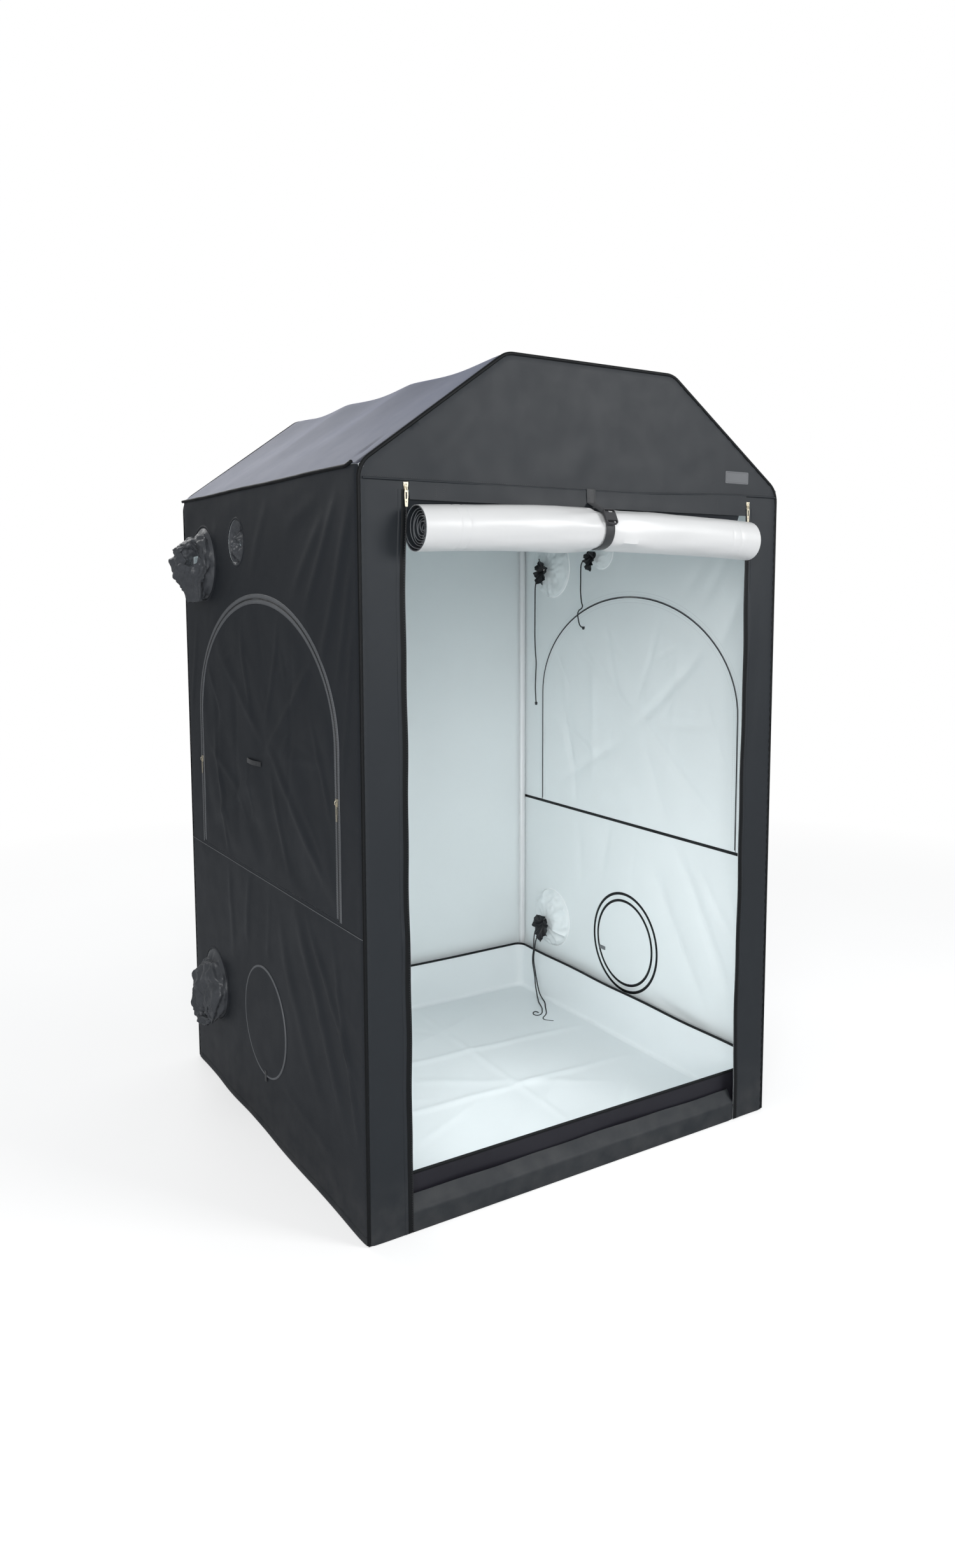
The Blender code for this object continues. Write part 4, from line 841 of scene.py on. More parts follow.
SILL = ((-0.6000, 0.0), (-0.6006, 0.020), (-0.6012, 0.042), (-0.6000, 0.0490), (-0.5950, 0.0530),
        (-0.5870, 0.0640), (-0.5805, 0.0740), (-0.5775, 0.0780))
GROUND = 0.597
ground = Panel(box(-GROUND, -GROUND, GROUND, GROUND), (), floor_place, flat_relief, step=0.05)
dress(ground.layer("ground_sheet_canvas", (CLOTH, 0.0), canvas), ground.area(),
      "ground_sheet")

SILL_HALF = 0.4885
SILL_THICK = 0.0014
ring = np.array([*SILL, *((y + SILL_THICK, z) for y, z in SILL[::-1])])
rows = []
for x in np.linspace(-SILL_HALF, SILL_HALF, 120):
    lift = 0.0010 * math.sin(9 * x + 1) + 0.0006 * math.sin(31 * x)
    row = ring.copy()
    row[:, 0] += lift * smoothstep(0, 0.05, ring[:, 1])
    row[:, 1] += 0.5 * lift * smoothstep(0.04, 0.07, ring[:, 1])
    row[:, 0] += 0.0022 * smoothstep(0.477, 0.484, x)
    rows.append(np.column_stack([np.full(len(ring), x), row]))
sill = make("sill_canvas", np.concatenate(rows), skin(rows, False), canvas)
dress(sill)

TRAY = 0.5735
TRAY_ROUND = 0.030
TRAY_FOOT = 0.014
TRAY_LOW = 0.0021
tray_path = divided(round_box(-TRAY, -TRAY, TRAY, TRAY, TRAY_ROUND), 0.012)
tray_out = -normals_of(tray_path, True)


def tray_top(p):
    """The rim's height: lower along the doorway, and never quite even."""
    lip = smoothstep(0.535, 0.560, -p[:, 1]) * smoothstep(0.545, 0.515, np.abs(p[:, 0]))
    top = 0.1560 + 0.0015 * np.sin(9 * p[:, 0] + 4 * p[:, 1]) + 0.0012 * np.sin(17 * p[:, 1] - 5 * p[:, 0])
    return top * (1 - lip) + 0.1245 * lip


def tray_wall(name, out, inner, material, slot):
    """A skin of the tray's wall, from its rounded foot up to its rim."""
    tops = tray_top(tray_path)
    rows = []
    for n, (point, way) in enumerate(zip(tray_path, tray_out)):
        bulge = 0.0022 * math.sin(14 * point[0] + 3) * math.cos(11 * point[1])
        column = []
        for shift in (out, inner):
            half = []
            for k in range(14):
                if k < 5:
                    turn = math.pi / 2 * k / 4
                    away = -TRAY_FOOT * (1 - math.sin(turn))
                    z = TRAY_LOW + TRAY_FOOT * (1 - math.cos(turn)) - shift * math.cos(turn)
                    away += shift * math.sin(turn)
                else:
                    t = (k - 4) / 9
                    z = TRAY_LOW + TRAY_FOOT + (tops[n] - TRAY_LOW - TRAY_FOOT) * t
                    away = shift + bulge * math.sin(math.pi * t) - 0.0025 * math.sin(math.pi * t)
                half.append((*(point + way * away), z))
            column += half if shift == out else half[::-1]
        rows.append(np.array(column))
    return make(name, np.concatenate(rows), skin(rows, True), material)


for name, heights, material, slot, node in (
        ("spill_tray_wall", (-0.0008, -0.0014), tray_sheet, "lining", "spill_tray"),
        ("spill_tray_wall_canvas", (0.0, -0.0007), tray_canvas, "canvas", None)):
    dress(tray_wall(name, *heights, material, slot),
          node=node)


def tray_relief(p):
    out = 0.0016 + waves(p, 0.26, 0.0012, 15)
    out += crease(p, (-0.60, 0.20), (0.60, 0.13), 0.014, 0.0050, 0.2)
    out += crease(p, (-0.60, -0.10), (0.60, -0.135), 0.014, 0.0050, 0.2)
    out += crease(p, (0.10, -0.56), (0.13, 0.56), 0.012, 0.0028, 0.2)
    out += creases(p, 16, 151, (-0.45, -0.45, 0.45, 0.45), 8, 60, 0.60, 0.020, 0.0036)
    edge = TRAY - np.maximum(np.abs(p[:, 0]), np.abs(p[:, 1]))
    settled = np.sqrt(out * out + 0.0006 ** 2) / 2 + out / 2
    return settled * smoothstep(0.005, 0.08, edge)


inset = TRAY_FOOT - 0.001
half = TRAY - inset
tray_floor = Panel(round_box(-half, -half, half, half, TRAY_ROUND - inset), (), floor_place, tray_relief,
                   step=0.010)
dress(tray_floor.layer("spill_tray_floor", (0.0034, 0.0026), tray_sheet, slot="lining"),
      tray_floor.area())

rim = np.column_stack([tray_path + tray_out * -0.0007, tray_top(tray_path)])
tube("tray_binding", rim, 0.0038, binding, closed=True)

# Seams, piping and hems

# The gable and eave piping use the deepest black, darker than the canvas: partly the piping's own colour,
# partly painted shade of the groove along each seam
for end, sign in (("front", -1), ("back", 1)):
    line = divided(gable(CORNER_INSET + 0.0004, foot=0.004), 0.010, closed=False)
    ys = np.full(len(line), sign * (HALF - CORNER_INSET - 0.0004))
    tube(f"gable_piping_{end}", np.column_stack([line[:, 0], ys, line[:, 1]]), 0.0044, binding)
for side, sign in SIDES.items():
    ys = np.linspace(-0.572, 0.5975, 90)
    lift = 0.006 * smoothstep(0.545, 0.572, -ys)
    line = np.column_stack([sign * (HALF + 0.0005 + 0.0004 * np.sin(31 * ys)), ys,
                            EAVE - 0.002 + lift + 0.0006 * np.sin(13 * ys)])
    tube(f"eave_piping_{side}", line, 0.0042, binding)

BASE_HEM = [(-HALF + 0.006, 0.010), (HALF - 0.006, 0.010)]
SEAM_LINE = [(-0.594, SEAM), (0.594, SEAM)]
for side, sign in SIDES.items():
    place = side_place(sign)
    band(f"{side}_base_hem", BASE_HEM, strip(0.0085, 0.0009), place, wall_relief, canvas)
    stitches(f"{side}_base_stitches", BASE_HEM, place, raised(wall_relief, 0.0009), thread, shift=0.0055)
    band(f"{side}_seam_piping", SEAM_LINE, bead(0.0009, -0.0095, sink=0.1), place, wall_relief, zip_tape)
    stitches(f"{side}_seam_stitches", SEAM_LINE, place, wall_relief, thread, shift=-0.014)
    band(f"{side}_seam_tape", SEAM_LINE, strip(0.0046, 0.0009, shift=-0.004), inner_place(sign),
         seen_inside(wall_relief), binding)

FLAP_LOW, FLAP_HIGH, FLAP_HALF = 1.6200, 1.6600, 0.4840


def header_line(shift, half):
    """The header's seam from left to right: it rises a little towards the right."""
    x = np.linspace(-half, half, 60)
    return np.column_stack([x, FLAP_HIGH + shift + 0.011 * smoothstep(0.05, 0.50, x)])


def flap_relief(p):
    free = smoothstep(FLAP_HIGH - 0.010, FLAP_LOW, p[:, 1])
    return free * (0.0012 + 0.0010 * np.sin(8 * p[:, 0] + 1) + 0.0008 * np.sin(23 * p[:, 0]))


flap = Panel([(-FLAP_HALF, FLAP_LOW), (FLAP_HALF, FLAP_LOW), *header_line(-0.001, FLAP_HALF)[::-1]],
             (), end_place(-1), flap_relief, step=0.008)
dress(flap.layer("header_flap", (0.0040, 0.0029), canvas),
      flap.area())
band("header_seam", header_line(0, 0.590), bead(0.0024, sink=0.25), end_place(-1), front_relief, canvas)
stitches("header_stitches", header_line(0.0055, 0.590), end_place(-1), front_relief, thread)
for x in (-0.421, -0.402, 0.385):
    stitches(f"header_stitches_{round(1000 * x) + 500}", [(x, 1.624), (x, 1.656)], end_place(-1),
             raised(flap_relief, 0.0040), thread, pitch=0.0045, length=0.0034)
label = Panel(round_box(0.415, 1.700, 0.494, 1.730, 0.003, 3), (), end_place(-1), front_relief, step=0.006)
label.layer("bare_label", (0.0006, 0.0001), zip_tape)
stitches("label_stitches", round_box(0.418, 1.703, 0.491, 1.727, 0.002, 3), end_place(-1),
         raised(front_relief, 0.0006), thread, pitch=0.0035, length=0.0026, closed=True)

for side, sign in SIDES.items():
    edge = jamb_edge(sign)
    edge = edge[edge[:, 1] < 1.6465]
    middle = edge + (sign * 0.0068, 0)
    band(f"doorway_tape_{side}", middle, strip(0.0060, 0.0008), end_place(-1), front_relief, binding)
    band(f"doorway_hem_{side}", edge + (sign * 0.0165, 0), strip(0.0040, 0.0006), end_place(-1), front_relief,
         canvas)
    stitches(f"doorway_stitches_{side}", middle, end_place(-1), raised(front_relief, 0.0008), thread,
             shift=-0.0040)
    line = np.column_stack([edge[:, 0] + sign * 0.0006, np.full(len(edge), -HALF - 0.0006), edge[:, 1]])
    tube(f"doorway_coil_{side}", line, 0.0012, zip_coil, sides=8)


def zip_halves(side, shift, lift=None):
    """The wall's and the door's half of a zip: name, line, place, relief and body. No lift means inside."""
    sign = SIDES[side]
    for half, way, foot, relief, body in (("wall", 1, SEAM, wall_relief, "tent"),
                                          ("door", -1, SEAM + HINGE_CLEAR, door_relief, f"{side}_door")):
        line = door_outline(way * shift, foot)
        if lift is None:
            yield half, line, inner_place(sign), seen_inside(relief), body
        else:
            yield half, line, side_place(sign), raised(relief, lift), body


def zip_bands(side, label, shift, section, materials, lift=None):
    for (half, line, place, relief, body), material in zip(zip_halves(side, shift, lift), materials):
        band(f"{side}_{label}_{half}", line, section, place, relief, material, body=body)


def zip_stitches(side, label, shift, material, lift=None):
    for half, line, place, relief, body in zip_halves(side, shift, lift):
        stitches(f"{side}_{label}_{half}_{shift}", line, place, relief, material, body=body)


LOOP_Z = 0.990
for side, sign in SIDES.items():
    zip_bands(side, "zip_tape", 0.0072, strip(0.0052, 0.0010), (zip_tape, zip_tape), lift=0)
    for shift in (0.0105, 0.0042):
        zip_stitches(side, "zip_stitches", shift, thread, lift=0.0010)
    zip_bands(side, "zip_coil", 0.0010, bead(0.0009, sides=8), (zip_coil, zip_coil), lift=0)
    zip_bands(side, "zip_back", 0.0015, strip(0.0013, 0.0009), (zip_tape, binding))
    for shift in (0.0085, 0.0165):
        zip_stitches(side, "inner_stitches", shift, pale_thread)
    ys = np.linspace(-0.003, 0.092, 24)
    bow = 0.0050 * np.sin(np.linspace(0, math.pi, 24)) + 0.0012
    flat = door_relief(np.column_stack([ys, np.full(24, LOOP_Z)]))
    rows = [[(sign * (HALF + out) + sign * thick, y, LOOP_Z + z)
             for thick, z in ((0, -0.006), (0.0012, -0.006), (0.0012, 0.006), (0, 0.006))]
            for y, out in zip(ys, flat + bow)]
    make(f"{side}_door_loop", np.concatenate(rows), skin(rows, False), webbing, f"{side}_door")

# Vents

RING = 0.1480
VENT_FOOT = VENT[1] - RING


def swell(p):
    fade = smoothstep(0, 0.04, RING - np.hypot(p[:, 0] - VENT[0], p[:, 1] - VENT[1]))
    return 0.0008 * fade + 0.0003 * waves(p, 0.08, 1.0, 21) * fade


for side, sign in SIDES.items():
    outer, inner = side_place(sign), inner_place(sign)
    body = f"{side}_outer_vent"
    disc = Panel(circle(VENT, RING - 0.0012, 96), (), outer, swell, step=0.010)
    dress(disc.layer(f"{body}_cloth", (0.0018, 0.0006), side_canvas, body),
          disc.area(), f"vent_flap_outer_{side}")
    band(f"{body}_rim", circle(VENT, RING - 0.0030, 120), strip(0.0032, 0.0021, base=0.0003), outer,
         flat_relief, zip_tape, closed=True, body=body)
    stitches(f"{body}_stitches", circle(VENT, RING - 0.0075, 120), outer, raised(swell, 0.0018), thread,
             closed=True, body=body)
    tab = round_box(VENT[0] - 0.006, VENT_FOOT - 0.014, VENT[0] + 0.006, VENT_FOOT + 0.016, 0.002, 3)
    Panel(tab, (), outer, flat_relief, step=0.004).layer(f"{body}_tab", (0.0032, 0.0022), webbing, body)
    body = f"{side}_inner_vent"
    disc = Panel(circle(VENT, 0.1450, 96), (), inner, swell, step=0.010)
    dress(disc.layer(f"{body}_cloth", (0.0032, 0.0020), lining, body, "lining"),
          disc.area(), f"vent_flap_inner_{side}")
    top = raised(swell, 0.0032)
    band(f"{body}_ring", circle(VENT, 0.1360, 120), strip(0.0042, 0.0007), inner, top, binding, closed=True,
         body=body)
    tab = round_box(VENT[0] + 0.096, 0.256, VENT[0] + 0.126, 0.268, 0.002, 3)
    Panel(tab, (), inner, top, step=0.004).layer(f"{body}_tab", (0.0014, 0.0001), zip_tape, body)
    band(f"{side}_vent_wall_ring", circle(VENT, 0.1580, 120), strip(0.0044, 0.0008), inner,
         seen_inside(wall_relief), binding, closed=True)
    for face, place, heights in (("outside", outer, (0.00025, 0.00005)), ("inside", inner, (0.0018, 0.0016))):
        mesh = Panel(circle(VENT, 0.136, 96), (), place, flat_relief, step=0.03)
        mesh.layer(f"{side}_vent_screen_{face}", heights, screen)


# Sleeves

def crumple(points, cell, height, seed):
    """The planes and sharp ridges of crushed cloth, about nought on average."""
    draw = np.random.default_rng(seed)
    low, high = points.min(axis=0) - cell / 2, points.max(axis=0) + cell / 2
    sides = np.maximum(1, np.round((high - low) / cell)).astype(int)
    spots = np.stack(np.meshgrid(*[np.arange(n) + 0.5 for n in sides], indexing="ij"), axis=-1).reshape(-1, 3)
    least = np.full(len(points), np.inf)
    for spot in low + (spots + draw.uniform(-0.45, 0.45, spots.shape)) * (high - low) / sides:
        least = np.minimum(least, np.linalg.norm(points - spot, axis=1))
    return (least / cell - 0.5) * height * 2


def grid_normals(grid):
    around = np.roll(grid, -1, axis=1) - np.roll(grid, 1, axis=1)
    along = np.gradient(grid, axis=0)
    normal = np.cross(around, along)
    return normal / np.maximum(np.linalg.norm(normal, axis=2), 1e-9)[..., None]


def thin(name, grid, thickness, material):
    """A closed thin skin round a grid of rings, joined at its two rims."""
    rows = [*grid, *(grid + grid_normals(grid) * thickness)[::-1]]
    return make(name, np.concatenate(rows), skin(rows, True), material, sharp=60)


SIDES_ROUND = 84
TURNS = np.linspace(0, math.tau, SIDES_ROUND, endpoint=False)
FACETS_ROUND = 12
# Each sleeve's rings from its port to its mouth: how far out, back and up its middle lies, its share of the
# port's size, and its turn towards the tent's front in degrees
HUNG = {
    "upper": ((0, 0, 0, 1, 0), (0.010, 0, -0.002, 1.00, 0), (0.026, 0, -0.008, 0.99, 0),
              (0.040, -0.004, -0.012, 0.90, 6), (0.050, -0.014, -0.004, 0.70, 20),
              (0.054, -0.028, 0.012, 0.46, 36), (0.050, -0.038, 0.020, 0.30, 46),
              (0.038, -0.030, 0.016, 0.22, 46), (0.024, -0.020, 0.008, 0.13, 46)),
    "small": ((0, 0, 0, 1, 0), (-0.010, 0, -0.001, 0.95, 0), (-0.020, 0, -0.006, 0.82, 0),
              (-0.010, 0, -0.012, 0.62, 0), (0.001, -0.002, -0.012, 0.40, 10), (-0.008, 0, -0.008, 0.26, 20),
              (-0.016, 0, -0.004, 0.12, 20)),
    "lower": ((0, 0, 0, 1, 0), (0.010, 0, -0.002, 1.00, 0), (0.026, 0.002, -0.008, 0.96, 0),
              (0.044, 0.004, -0.024, 0.82, 4), (0.050, 0, -0.050, 0.58, 10),
              (0.044, -0.006, -0.078, 0.34, 16), (0.034, -0.008, -0.092, 0.20, 20),
              (0.030, -0.006, -0.072, 0.14, 20), (0.026, -0.002, -0.052, 0.10, 20)),
}
SLEEVE_SEEDS = {"upper": 41, "small": 47, "lower": 44}


def facets(coarse, steps, turns, draw):
    """A grid of rings refined into flat triangles: each of its cells is folded along a drawn diagonal."""
    rings, around = coarse.shape[:2]
    fold = draw.random((rings - 1, around)) < 0.5
    rows = []
    for i in range(rings - 1):
        for u in np.arange(steps) / steps:
            row = []
            for j in range(around):
                a, b = coarse[i, j], coarse[i + 1, j]
                c, d = coarse[i, (j + 1) % around], coarse[i + 1, (j + 1) % around]
                for v in np.arange(turns) / turns:
                    if fold[i, j] and u + v < 1:
                        row.append(a + u * (b - a) + v * (c - a))
                    elif fold[i, j]:
                        row.append(d + (1 - u) * (c - d) + (1 - v) * (b - d))
                    elif u > v:
                        row.append(a + u * (b - a) + v * (d - b))
                    else:
                        row.append(a + u * (d - c) + v * (c - a))
            rows.append(row)
    rows.append([coarse[-1, j] + (coarse[-1, (j + 1) % around] - coarse[-1, j]) * v
                 for j in range(around) for v in np.arange(turns) / turns])
    return np.array(rows)


def hung_sleeve(port, side, sign):
    """A sleeve that hangs out of its port in crushed folds, with its mouth turned in."""
    y, z, radius = PORTS[port]
    seed = SLEEVE_SEEDS[port]
    draw = np.random.default_rng(seed)
    rings = np.array(HUNG[port])
    count = len(rings)
    turns = np.linspace(0, math.tau, FACETS_ROUND, endpoint=False) + np.zeros((count, 1))
    free = smoothstep(0.5, 2.0, np.arange(count))[:, None]
    turns = turns + draw.uniform(-0.16, 0.16, turns.shape) * free
    inner = (np.arange(count) >= count - 2)[:, None]
    reach = rings[:, 3:4] * (radius - 0.0006) * (1 + draw.uniform(-0.17, 0.13, turns.shape) * free * ~inner)
    dent = np.exp(-((turned(turns - math.radians(82)) / 0.50) ** 2))
    reach = reach * (1 - dent * np.array([0.0, 0.34, 0.26] + [0.0] * (count - 3))[:, None])
    out = rings[:, 0:1] + draw.uniform(-0.10, 0.10, turns.shape) * radius * free * ~inner
    tilt = np.radians(rings[:, 4:5])
    coarse = np.stack([sign * (HALF + 0.0006 + out + reach * np.cos(turns) * np.sin(tilt)),
                       y + rings[:, 1:2] + reach * np.cos(turns) * np.cos(tilt),
                       z + rings[:, 2:3] + reach * np.sin(turns)], axis=-1)
    grid = facets(coarse, 6, SIDES_ROUND // FACETS_ROUND, draw)
    normal = grid_normals(grid) * sign
    points = grid.reshape(-1, 3)
    fine = crumple(points, radius * 0.30, radius * 0.055, seed + 5)
    fine += crumple(points, radius * 0.13, radius * 0.035, seed + 6)
    row = np.arange(len(grid))[:, None]
    grid = grid - normal * (fine.reshape(len(grid), -1) * smoothstep(0, 8, row))[..., None]
    rim = np.column_stack([np.full(SIDES_ROUND, sign * (HALF - 0.0022)),
                           circle((y, z), radius - 0.0004, SIDES_ROUND)])
    for n in range(4):
        grid[n] = rim + (grid[n] - rim) * n / 4
    dress(thin(f"duct_sleeve_{port}_{side}_cloth", grid, sign * 0.0008, nylon),
          node=f"duct_sleeve_{port}_{side}")
    band(f"{side}_{port}_port_hem", circle((y, z), radius + 0.0035, 72), strip(0.0030, 0.0009),
         side_place(sign), wall_relief, side_canvas, closed=True)
    stitches(f"{side}_{port}_port_stitches", circle((y, z), radius + 0.0085, 90), side_place(sign),
             wall_relief, thread, closed=True)


# Each star's corners, as (degrees from the tent's back over the top, share of its size)
STARS = {
    "upper": ((0, 0.62), (34, 0.70), (78, 1.12), (96, 1.08), (128, 0.72), (160, 0.98), (182, 0.78),
              (205, 1.02), (232, 0.86), (250, 1.16), (268, 0.92), (292, 1.14), (318, 0.80), (340, 0.96)),
    "small": ((0, 0.96), (40, 0.90), (70, 1.04), (120, 1.00), (150, 0.84), (182, 0.92), (214, 0.88),
              (240, 0.70), (262, 1.24), (300, 1.00), (335, 0.80)),
    "lower": ((4, 1.16), (26, 0.84), (52, 1.02), (76, 0.86), (100, 1.00), (128, 1.02), (150, 0.88),
              (176, 0.90), (204, 1.18), (224, 0.80), (250, 0.86), (272, 1.26), (296, 0.88), (322, 1.02),
              (344, 0.80)),
}
# Each tied sleeve's droop, the radii of its neck and of its star, its seed, its length and its frill's
TIED = {"upper": (0.015, 0.011, 0.041, 61, 0.065, 0.022), "small": (0.033, 0.009, 0.030, 62, 0.045, 0.018),
        "lower": (0.029, 0.011, 0.045, 63, 0.065, 0.024)}
SLEEVE_IN = 0.052


def tied_sleeve(port, side, sign):
    """A sleeve pushed in through its port: a white puff, drawn tight, with a black frill."""
    y, z, radius = PORTS[port]
    droop, neck, star, seed, length, frill = TIED[port]
    face = HALF - 0.0018
    at = np.linspace(0, 1, 34)
    share = np.interp(at, (0, 0.14, 0.34, 0.56, 0.78, 0.92, 1.0),
                      (1, 0.97, 0.84, 0.62, 0.38, 0.16 + neck / radius / 2, neck / radius))
    deep = np.interp(at, (0, 0.14, 0.34, 0.56, 0.78, 1.0), (0, 0.14, 0.30, 0.42, 0.52, 0.62))
    turn, along = np.meshgrid(TURNS, deep)
    reach = (share * (radius - 0.0006))[:, None] * np.ones_like(turn)
    low = z - droop * along ** 2
    base = np.stack([sign * (face - along * SLEEVE_IN), y + reach * np.cos(turn), low + reach * np.sin(turn)],
                    axis=-1)
    flat = base.reshape(-1, 3)
    push = crumple(flat, radius * 0.42, radius * 0.085, seed)
    push = (push + crumple(flat, radius * 0.2, radius * 0.03, seed + 9)).reshape(turn.shape)
    draw = np.random.default_rng(seed)
    for _ in range(20):
        middle, width = draw.uniform(0, math.tau), draw.uniform(0.05, 0.13)
        off = turned(turn - middle - draw.uniform(-0.7, 0.7) * at[:, None])
        push += radius * 0.055 * np.exp(-(off / width) ** 2) * draw.uniform(0.5, 1)
    fade = (smoothstep(0.0, 0.18, at) * (1 - 0.75 * smoothstep(0.6, 1.0, at)))[:, None]
    push = push * fade
    reach = reach + push * 0.5
    grid = np.stack([base[..., 0] - sign * push * 0.8, y + reach * np.cos(turn), low + reach * np.sin(turn)],
                    axis=-1)
    puff = f"duct_sleeve_{port}_{side}_puff"
    dress(thin(puff, grid, sign * 0.0007, lining),
          node=f"duct_sleeve_{port}_{side}")

    corners = [(share * star * math.cos(math.radians(a)), share * star * math.sin(math.radians(a)))
               for a, share in STARS[port]]
    outline = divided(corners, 0.0035)
    spin = np.arctan2(outline[:, 1], outline[:, 0])
    rows = []
    neck_at = 0.64
    for k, t in enumerate(np.linspace(0, 1, 16)):
        flare = smoothstep(0, 1, t)
        spread = neck * 0.55 + (1 - neck * 0.55 / star) * star * (0.15 * t + 0.85 * t ** 0.9)
        ring = outline / star * spread
        depth = neck_at + (0.94 - neck_at) * (1 - (1 - min(1, t * 1.6)) ** 2)
        pleat = 0.0052 * flare * np.sin(7 * spin + 1.2 * np.sin(3 * spin))
        pleat += 0.0022 * np.sin(16 * spin) * flare
        pleat -= 0.004 * flare * t * t
        low = z - droop * depth ** 2
        rows.append(np.column_stack([sign * (face - depth * SLEEVE_IN + pleat), y + ring[:, 0],
                                     low + ring[:, 1]]))
    dress(thin(f"duct_sleeve_{port}_{side}_frill", np.array(rows), sign * 0.0009, frill_cloth))
    turns = np.linspace(0, 3 * math.tau, 90)
    depth = np.linspace(0.60, 0.72, 90)
    wrap_size = neck * 0.8 + CORD * 0.4
    line = np.column_stack([sign * (face - depth * SLEEVE_IN), y + wrap_size * np.cos(turns),
                            z - droop * depth ** 2 + wrap_size * np.sin(turns)])
    tube(f"neck_wrap_{port}_{side}", line, CORD * 0.42, rope, sides=8)


for port in PORTS:
    hung_sleeve(port, "left", -1)
    tied_sleeve(port, "right", 1)

# Rolled door

ROLL_RADIUS = 0.052
ROLL_CORE = 0.006
ROLL_TURNS = 8.4
ROLL_PLACE = -0.010
ROLL_HALF = 0.474
ROLL_Y = -0.631
ROLL_Z = 1.5698
ROLL_DROOP = 0.0115
ROLL_TILT = 0.0022
ROLL_AT = (-1, -0.70, -0.45, -0.26, -0.07, 0, 0.07, 0.30, 0.70, 1)
ROLL_SIZE = (0.995, 1.005, 1.03, 1.01, 0.91, 0.86, 0.91, 0.995, 0.985, 0.985)
# Each long fold: its turn round the roll, its start and end in x, its width in radians, and its height as a
# share of the radius
ROLL_FOLDS = (
    (3.75, 0.05, 0.40, 0.15, 0.050), (3.05, 0.10, 0.46, 0.12, -0.034), (2.60, 0.16, 0.36, 0.12, 0.030),
    (3.45, -0.38, -0.06, 0.13, 0.034), (2.75, -0.30, -0.04, 0.13, -0.034), (4.25, -0.42, -0.12, 0.15, 0.030),
    (4.60, 0.08, 0.44, 0.16, -0.030), (2.20, -0.44, -0.20, 0.14, 0.030), (3.10, -0.24, -0.03, 0.09, 0.034),
    (3.50, 0.02, 0.20, 0.09, -0.036), (3.95, -0.16, -0.02, 0.10, -0.040), (3.20, -0.10, -0.01, 0.08, 0.036),
)
# Seams that run round the roll, by their x
ROLL_SEAMS = (-0.401, -0.378, 0.3745, 0.4005)
TAIL_TOP = (-0.6011, 1.655)
TAIL_FOOT = (-0.6011, 1.6375)


def roll_at(x):
    """The share of the roll's half length, from its strap."""
    return np.clip((x - ROLL_PLACE) / ROLL_HALF, -1, 1)


def roll_size(x):
    size = np.interp(roll_at(x), ROLL_AT, ROLL_SIZE)
    return size - 0.008 * np.exp(-((x - ROLL_PLACE) / 0.016) ** 2)


def roll_middle(x):
    """The roll's middle: its strap holds it up, and its ends droop."""
    return ROLL_Z - ROLL_DROOP * roll_at(x) ** 2 - ROLL_TILT * roll_at(x)


def roll_swell(x, turn):
    """Creases that fan out from the strap, soft dents and one long fold, as a share of the radius."""
    away = np.abs(x - ROLL_PLACE)
    turn = np.mod(turn, math.tau)
    total = np.zeros_like(turn)
    draw = np.random.default_rng(77)
    for side in (-1, 1):
        for n in range(13):
            start = math.tau * (n + draw.uniform(0, 0.7)) / 13
            lean = draw.uniform(-7, 7)
            reach = draw.uniform(0.05, 0.16)
            height = draw.uniform(0.045, 0.120)
            off = turned(turn - start - lean * away)
            near = smoothstep(0.010, 0.028, away) * np.exp(-(away / reach) ** 2)
            near = near * (np.sign(x - ROLL_PLACE) == side)
            total += height * np.exp(-(off / (0.10 + 1.4 * away)) ** 2) * near
    for middle, start, end, width, height in ROLL_FOLDS:
        t = (x - start) / (end - start)
        off = turned(turn - middle - 0.5 * (t - 0.5))
        total += (height * np.exp(-(off / width) ** 2) * smoothstep(-0.1, 0.25, t)
                  * smoothstep(-0.1, 0.25, 1 - t))
    total += 0.004 * np.sin(31 * x + 2 * turn) * np.sin(3 * turn + 1) + 0.003 * np.sin(57 * x - 3 * turn)
    for seam in ROLL_SEAMS:
        total -= 0.020 * np.exp(-((x - seam) / 0.0020) ** 2)
    total -= 0.005 * np.exp(-((x + 0.480) / 0.0012) ** 2)
    return total


def roll_grid(xs, turns, drop):
    """Points of the winding at this depth under its outer face: one row for each x."""
    outer = ROLL_RADIUS - 0.0004
    rows = []
    for x in xs:
        radius = (outer + (ROLL_CORE - outer) * turns / turns[-1]) * roll_size(x)
        radius = radius * (1 + roll_swell(np.full(len(turns), x), turns)) - drop
        rows.append(np.column_stack([ROLL_Y + radius * np.cos(turns),
                                     roll_middle(x) - radius * np.sin(turns)]))
    return np.array(rows)


def set_back(wound, recess):
    """How far each inner turn stands back at the roll's ends: deeper towards the core, never quite even."""
    uneven = 0.0016 * np.sin(9 * wound) * smoothstep(1.2, 2, wound) + 0.0016 * np.maximum(wound - 1.4, 0)
    return recess * smoothstep(1.05, 1.35, wound) + uneven


